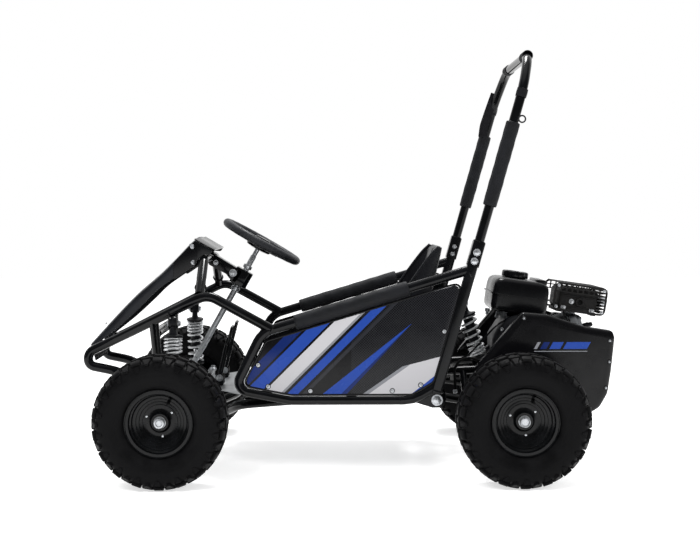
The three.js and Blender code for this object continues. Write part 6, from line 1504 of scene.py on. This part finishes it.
class KART_OT_engine(bpy.types.Operator):
    """Cast the engine with its finned cylinder, and fit tank, cap, muffler, recoil starter and air cleaner"""
    bl_idname = "kart.engine"
    bl_label = "Engine"

    def execute(self, context):
        case = np.array([(0.095, 0), (0.952, 0), (1, 0.469), (0.845, 1), (0.161, 1), (0, 0.547), (0.036, 0.188)])
        case = case * (168, 128) + (-82, 0)
        cast, steel = [], []
        dark = [slab(rounded(case, 16, 7), -77.6, 77.6, 4.0)]

        def on_cylinder(form):
            return turned(form, CYLINDER_TILT, (20, 0, 62))

        for half, low, high in ((33, 40, 146), (42, 128, 145.5), (34, 145, 157.6)):
            square = rect(-half, -half, half, half, 9, 5)
            cast.append(on_cylinder(slab(square, low, high, 1.5, 0)))
        fin = rect(-47.6, -47.6, 47.6, 47.6, 12, 5)
        for start in np.arange(66, 130, 6.0):
            cast.append(on_cylinder(slab(fin, start, start + 2.2, 0.7, 0)))
        for v, w in ((-24, -24), (-24, 24), (24, -24), (24, 24)):
            steel += [on_cylinder(form) for form in bolt((157.4, v, w), (1, 0, 0), 6, False)]
        for u in range(-62, 66, 21):
            for w in (118, 10):
                steel += bolt((u, 77.6, w), (0, 1, 0), 5, False)
        for v in (-60, -30, 30, 60):
            cast.append(block((-60, v - 1.5, 126), (52, v + 1.5, 131), 1, 0.6))
        for u in (-62, 10):
            for v in (-52, 44):
                cast.append(lathe([(0, 124), (10, 124), (8, 130), (8, 143.6), (0, 143.6)], (u, v, 0), (0, 0, 1), 28))
        cast.append(block((105, -17, 120), (139, 17, 165.6), 6, 1))
        cast.append(lathe([(30, 77), (30, 80), (13, 82), (9.6, 82), (9.6, 77)], (-4, 0, 62), (0, 1, 0), 48, True))
        steel.append(lathe([(0, 76), (8.6, 76), (8.6, 145), (0, 145)], (-4, 0, 62), (0, 1, 0), 28))
        steel.append(lathe([(0, 151), (8, 151), (17.6, 150), (17.6, 145.2), (0, 145.2)], (-4, 0, 62), (0, 1, 0), 6))
        plug = lathe([(0, 186), (5, 186), (6.6, 182), (6.6, 176), (8.4, 175), (8.4, 158), (0, 158)], (0, 0, 0),
                     (1, 0, 0), 24)
        dark.append(turned(plug, CYLINDER_TILT, (20, -20, 62)))
        dark.append(block((-58, -30, 131), (-20, 20, 141), 4, 1))
        filler = lathe([(0, 9), (9, 9), (11, 7), (11, 0), (0, 0)], (0, 0, 0), (0, 0, 1), 10)
        dark.append(turned(filler, -60, (-78, 40, 26)))
        piece("engine_castings", {"cast_alloy": on_engine(*cast), "satin_enamel": on_engine(*dark),
                                  "zinc_plate": on_engine(*steel)}, "swing", ["engine"])

        outline = [(-108, -110), (44, -110), (44, 70), (-108, 70)]
        rows = [(144, 13), (145, 9), (148.5, 4), (154, 1), (162, 0), (190, 0), (190.6, -4), (193.6, -4), (194.2, 0),
                (212, 0.6), (222, 2.4), (229, 6), (233.5, 11.5), (236, 19), (237, 30)]
        rows = [np.insert(rounded(inset(outline, drawn), 22, 9), 2, w, axis=1) for w, drawn in rows]
        tank = [grid(np.array(rows)), lathe([(0, 243), (24.6, 243), (25, 242), (27, 237), (27, 230), (0, 230)],
                                            (-43, -20, 0), (0, 0, 1), 48),
                block((8, -84, 230), (38, 44, 243), 8, 3.5)]
        valve = [lathe([(0, 0), (7, 0), (7, 9), (4, 10), (4, 18), (0, 18)], (-96, 40, 140), (0, 0, -1), 20)]
        piece("fuel_tank_pressed", {"gloss_plastic": on_engine(*tank), "zinc_plate": on_engine(*valve)}, "swing",
              ["fuel_tank"])

        turn = 2 * np.pi * (np.arange(96) + 0.5) / 96
        grip = 1 - 0.045 * (np.cos(turn * 8) > 0.55)
        # Radius and height of the cap's rows, and whether its grip is cut into them.
        rows = [(25.8, 243.4, 0), (26, 238.2, 0), (33, 238, 0), (35.6, 239, 1), (36, 241, 1), (36, 251, 1),
                (35, 254, 1), (32, 255.6, 0), (29, 255.9, 0), (27.4, 254.6, 0), (12, 254.4, 0), (10.6, 256, 0),
                (0.01, 256, 0)]
        rows = [np.stack([np.cos(turn) * r * (grip if k else 1) - 43, np.sin(turn) * r * (grip if k else 1) - 20,
                          np.full(96, float(w))], 1) for r, w, k in rows]
        piece("fuel_cap_moulded", {"gloss_plastic": on_engine(grid(np.array(rows)))}, "filler_cap", ["fuel_cap"])

        # Muffler: a pressed can in a cage, with bars over its top, a frame at each side and louvres at its rear.
        can = [(78, 172), (184, 172), (184, 232), (78, 232)]
        forms = [slab(rounded(can, 15, 7), -70, 70, 6.0), slab(rounded(inset(can, -2.4), 17, 7), -2, 2, 0.8),
                 lathe([(7.6, -2), (7.6, 10), (11, 10), (11, -2)], (134, -69, 197), (0, -1, 0), 28, True)]
        for w in (182, 209, 220):
            forms += [slab(rect(86, w, 176, w + 4, 1.8), near, near + 2.6, 0.8) for near in (-71.6, 69)]
        frame_out = rect(60, 168, 205, 245, 18, 8)
        frame_in = rect(65.5, 173.5, 199.5, 239.5, 13, 8)
        for v in (-82, 79.6):
            forms.append(annulus(frame_out, frame_in, v, v + 2.4))
            for low, high in ((219, 222), (230, 233)):
                forms.append(slab(rect(64, low, 201, high, 0.8), v, v + 2.4, 0.4))
            for u in range(76, 196, 15):
                forms.append(slab(rect(u, 221, u + 4, 241, 0.8), v + 0.2, v + 2.2, 0.4))
        for u in range(68, 186, 13):
            forms.append(block((u, -81, 242.6), (u + 8, 81, 245), 1, 0.5))
        for w in np.arange(174, 236, 8.6):
            louvre = rounded([(186, w), (204.6, w + 3.4), (204.6, w + 5.4), (186, w + 2)], 0.8)
            forms.append(slab(louvre, -79, 79, 0.5))
        steel = []
        for u, w in ((112, 196), (92, 178), (170, 178)):
            steel += bolt((u, -70.4, w), (0, -1, 0), 6)
        for u, w in ((70, 236), (195, 236), (70, 178), (195, 178)):
            steel += button((u, -82.4, w), (0, -1, 0), 3.2)
        for u in (84, 178):
            forms.append(block((u - 7, -60, 164), (u + 7, 60, 173), 2, 0.8))
        steel.append(lathe([(9.6, -20), (12, -20), (12, 18), (9.6, 18)], (205, 0, 204), (1, 0, 0), 32, True))
        piece("muffler_guarded", {"stove_paint": on_engine(*forms), "zinc_plate": on_engine(*steel)}, "swing",
              ["muffler"])

        cover = [(0, 78.4), (85, 78.4), (85, 106), (83, 110), (80, 113), (73, 118), (61, 118.4), (57, 121), (54, 127),
                 (50, 128.2), (0, 128.2)]
        points, faces = lathe([(r, -v) for r, v in cover], (-4, 0, 62), (0, 1, 0), 96)
        points[:, 2] = np.clip(points[:, 2], 1.6, 140.9)
        forms = [(points, faces)]
        for turn in range(0, 360, 15):
            rib = slab(rect(58, -1.6, 73, 1.6, 1.4), -121.4, -117, 0.6)
            points, faces = turned(rib, turn, (-4, 0, 62))
            if 4 < points[:, 2].min() and points[:, 2].max() < 139:
                forms.append((points, faces))
        for turn in range(0, 360, 20):
            forms.append(turned(slab(rounded([(14, -2), (44, -1.2), (44, 1.2), (14, 2)], 1), -130.2, -127, 0.6), turn,
                                (-4, 0, 62)))
        steel = []
        for turn in (0.5, 2.6, 4.7):
            spot = (-4 + 78 * math.cos(turn), -113.6, 62 + 70 * math.sin(turn))
            steel += bolt(spot, (0, -1, 0), 5)
        piece("recoil_cover", {"grained_plastic": on_engine(*forms), "zinc_plate": on_engine(*steel)}, "swing",
              ["recoil_housing"])
        grip = lathe([(0, -20), (4, -20), (6.4, -17), (7, -10), (6, 0), (7, 10), (6.4, 17), (4, 20), (0, 20)],
                     (-4, -136, 117), (1, 0, 0), 24)
        stem = lathe([(0, 0), (4, 0), (4, 7.6), (0, 7.6)], (-4, -136, 117), (0, 1, 0), 16)
        piece("recoil_grip", {"gloss_plastic": on_engine(grip, stem)}, "swing", ["recoil_handle"])

        outline = rect(96, 66, 168, 152, 12, 6)
        small = rect(101, 71, 163, 147, 11, 6)
        forms = [slab(small, 48.6, 117.8, 5.0), slab(outline, 84, 111, 3.0)]
        for u in (112, 122, 132, 142, 152):
            forms.append(block((u - 1.5, 116, 84), (u + 1.5, 119.4, 134), 1, 0.6))
        steel = [lathe([(0, 8), (4, 8), (5.4, 6), (5.4, 0), (0, 0)], (132, 117.6, 109), (0, 1, 0), 6),
                 block((120, 121, 107), (144, 124, 111), 1.6, 0.8)]
        piece("air_cleaner_box", {"grained_plastic": on_engine(*forms), "zinc_plate": on_engine(*steel)}, "swing",
              ["air_cleaner"])
        return {"FINISHED"}


class KART_OT_tail(bpy.types.Operator):
    """Form the two tail panels and screw them on"""
    bl_idname = "kart.tail"
    bl_label = "Tail panels"

    def execute(self, context):
        shares = np.array([(0, 0.412), (0.8304, 0), (0.899, 0.064), (0.953, 0.197), (0.977, 0.423), (1, 0.749),
                           (0.985, 0.817), (0.79, 0.858), (0.52, 0.979), (0.35, 1)])
        outline = shares * (371.5, 264.5) + (785, 154)
        radii = [14, 26, 26, 40, 60, 20, 14, 30, 30, 14]
        # Rows of the dished shell, inner face first: distance from the kart's middle, and how far it is drawn in.
        rows = ((224.4, 15), (220, 5.4), (216, 3.6), (198, 3.4), (198, 0), (214, 0), (219, 0.6), (222.6, 3),
                (225.4, 7.5), (227.2, 12), (228, 15.5))
        for side, name in SIDES:
            stacked = [np.insert(rounded(inset(outline, drawn), radii, 6), 1, side * y, axis=1) for y, drawn in rows]
            steel, black = [], []
            for x, z in ((1133, 222), (1141, 290), (1142, 345), (1080, 176), (806, 262), (918, 404), (842, 275)):
                steel += button((x, side * 228.2, z), (0, side, 0), 3.4)
                black.append(lathe([(0, 0.8), (5.8, 0.7), (6.2, 0.2), (6.2, -0.4), (0, -0.4)],
                                   (x, side * 227.9, z), (0, side, 0), 24))
            piece(f"tail_panel_{name}_shell",
                  {"tail_film": [grid(np.array(stacked))], "zinc_plate": steel, "gloss_plastic": black}, "swing",
                  [f"tail_panel_{name}"], 50)
        return {"FINISHED"}


class KART_OT_pedals(bpy.types.Operator):
    """Weld the two pedals, with ribbed rubber treads"""
    bl_idname = "kart.pedals"
    bl_label = "Pedals"

    def execute(self, context):
        for side, name in ((-1, "brake"), (1, "throttle")):
            y, reach, tilt = side * PEDAL_Y, 118, math.radians(14)
            head = np.array((PEDAL_X + reach * math.sin(tilt), y, PEDAL_Z + reach * math.cos(tilt)))
            forms = [lathe(collar(5.4, 7.6, 8.2, 12, 13), (PEDAL_X, y, PEDAL_Z), (0, 1, 0), 28, True),
                     tube([(PEDAL_X, y, PEDAL_Z + 6), tuple(head - (4, 0, 6))], 13)]
            flat = slab(rect(-37, -26, 37, 26, 8, 5), -3, 1, 0.8, 2)
            rubber = [slab(rect(-35, -24, 35, 24, 7, 5), 0.8, 2.2, 0.6, 2)]
            for w in range(-20, 21, 8):
                rubber.append(slab(rect(-32, w - 2, 32, w + 2, 1.8), 2, 3.2, 0.6, 2))
            heading = (math.cos(tilt), 0, -math.sin(tilt))
            forms.append(aimed(flat, head, heading, (0.24, 0, 0.97)))
            rubber = [aimed(form, head, heading, (0.24, 0, 0.97)) for form in rubber]
            piece(f"{name}_pedal_weldment", {"frame_enamel": forms, "knob_rubber": rubber}, name,
                  [f"{name}_pedal"])
        return {"FINISHED"}


class KART_OT_springs(bpy.types.Operator):
    """Wind the coil springs, close at one end, so that they stretch between the two halves of their dampers"""
    bl_idname = "kart.springs"
    bl_label = "Springs"

    def execute(self, context):
        wire = sizes().wire * 1000
        for name, top, foot, part, _ in DAMPERS:
            curls, close = (8, (0, 3)) if name == "rear_spring" else (9, (5, 9))
            top, foot = np.array(top, float), np.array(foot, float)
            length = np.linalg.norm(top - foot)
            low, high = SPRING_FOOT - length + wire * 0.62, -SPRING_TOP - wire * 0.62
            radius = (48 - wire) / 2
            turns = np.linspace(0, curls, curls * 28)
            pitch = np.where((turns >= close[0]) & (turns <= close[1]), 8.2, 17.2)
            pitch = pitch * np.clip(np.minimum(turns, curls - turns) / 0.7, 0.08, 1)
            rise = np.cumsum(pitch) - pitch[0]
            spot = 2 * np.pi * turns
            path = np.stack([radius * np.cos(spot), radius * np.sin(spot), low + (high - low) * rise / rise[-1]], 1)
            flat = np.clip(np.minimum(turns, curls - turns) / 0.8, 0.62, 1)
            rows = ring(10, wire)[None] * np.stack([np.ones_like(flat), flat], 1)[:, None]
            coil = carried(rows, path, lean=(0, 0, 1))
            heading = unit(top - foot)
            between = (part.format("rod"), part.format("body"), in_frame(foot + heading * SPRING_FOOT),
                       in_frame(top - heading * SPRING_TOP))
            piece(f"{name}_coil", {"chrome_plate": [aimed(coil, top, heading)]}, between, [name], 60)
        return {"FINISHED"}


class KART_OT_hoses(bpy.types.Operator):
    """Lay the brake hose and the throttle cable at the rear"""
    bl_idname = "kart.hoses"
    bl_label = "Hoses"

    def execute(self, context):
        hose, cable, clips = 7.0, 5.0, []
        for name, size, bend, corners, material in (
            ("brake_hose", hose, 38, [(748, -166, 201), (743, -162, 292), (823, -150, 292), (819, -146, 207)],
             "knob_rubber"),
            ("throttle_cable", cable, 60, [(716, -118, 264), (786, -138, 298), (862, -126, 378), (890, -100, 388)],
             "gloss_plastic"),
        ):
            path = bent(corners, bend, 6)
            made = piece(name, {material: [carried(ring(12, size), path)]}, "swing")
        for spot, heading, size in (((748, -166, 201), (-0.2, 0.1, 1), hose), ((819, -146, 207), (0, 0, -1), hose),
                                    ((716, -118, 264), (-0.8, 0.4, -0.4), cable)):
            ferrule = [(0, -1), (size * 0.5, -1), (size * 0.8, 0), (size * 0.8, 8), (size * 0.65, 9), (0, 9)]
            clips.append(lathe(ferrule, spot, heading, 20))
        piece("hose_ferrules", {"zinc_plate": clips}, "swing")
        return {"FINISHED"}


OPERATORS = (KART_OT_materials, KART_OT_stage, KART_OT_side_frames, KART_OT_cross_members,
             KART_OT_roll_bar, KART_OT_dash, KART_OT_body, KART_OT_seat, KART_OT_pads, KART_OT_tyres, KART_OT_rims,
             KART_OT_front_axle, KART_OT_steering, KART_OT_dampers, KART_OT_springs, KART_OT_swing_arm,
             KART_OT_drive, KART_OT_engine, KART_OT_tail, KART_OT_pedals, KART_OT_hoses)


class KART_PT_panel(bpy.types.Panel):
    """Lists the kart's pieces with their sizes and colours"""
    bl_idname = "KART_PT_panel"
    bl_label = "Off road go kart"
    bl_space_type = "VIEW_3D"
    bl_region_type = "UI"
    bl_category = "Go kart"

    def draw(self, context):
        for group in (context.scene.kart_sizes, context.scene.kart_colours):
            for name in group.__annotations__:
                self.layout.prop(group, name)
        for operator in OPERATORS:
            self.layout.operator(operator.bl_idname)


CLASSES = (KartSizes, KartColours, *OPERATORS, KART_PT_panel)


def register():
    for each in CLASSES:
        bpy.utils.register_class(each)
    bpy.types.Scene.kart_sizes = PointerProperty(type=KartSizes)
    bpy.types.Scene.kart_colours = PointerProperty(type=KartColours)


def unregister():
    del bpy.types.Scene.kart_colours
    del bpy.types.Scene.kart_sizes
    for each in reversed(CLASSES):
        bpy.utils.unregister_class(each)


def main():
    register()
    for operator in OPERATORS:
        family, name = operator.bl_idname.split(".")
        getattr(getattr(bpy.ops, family), name)()


if __name__ == "__main__":
    main()
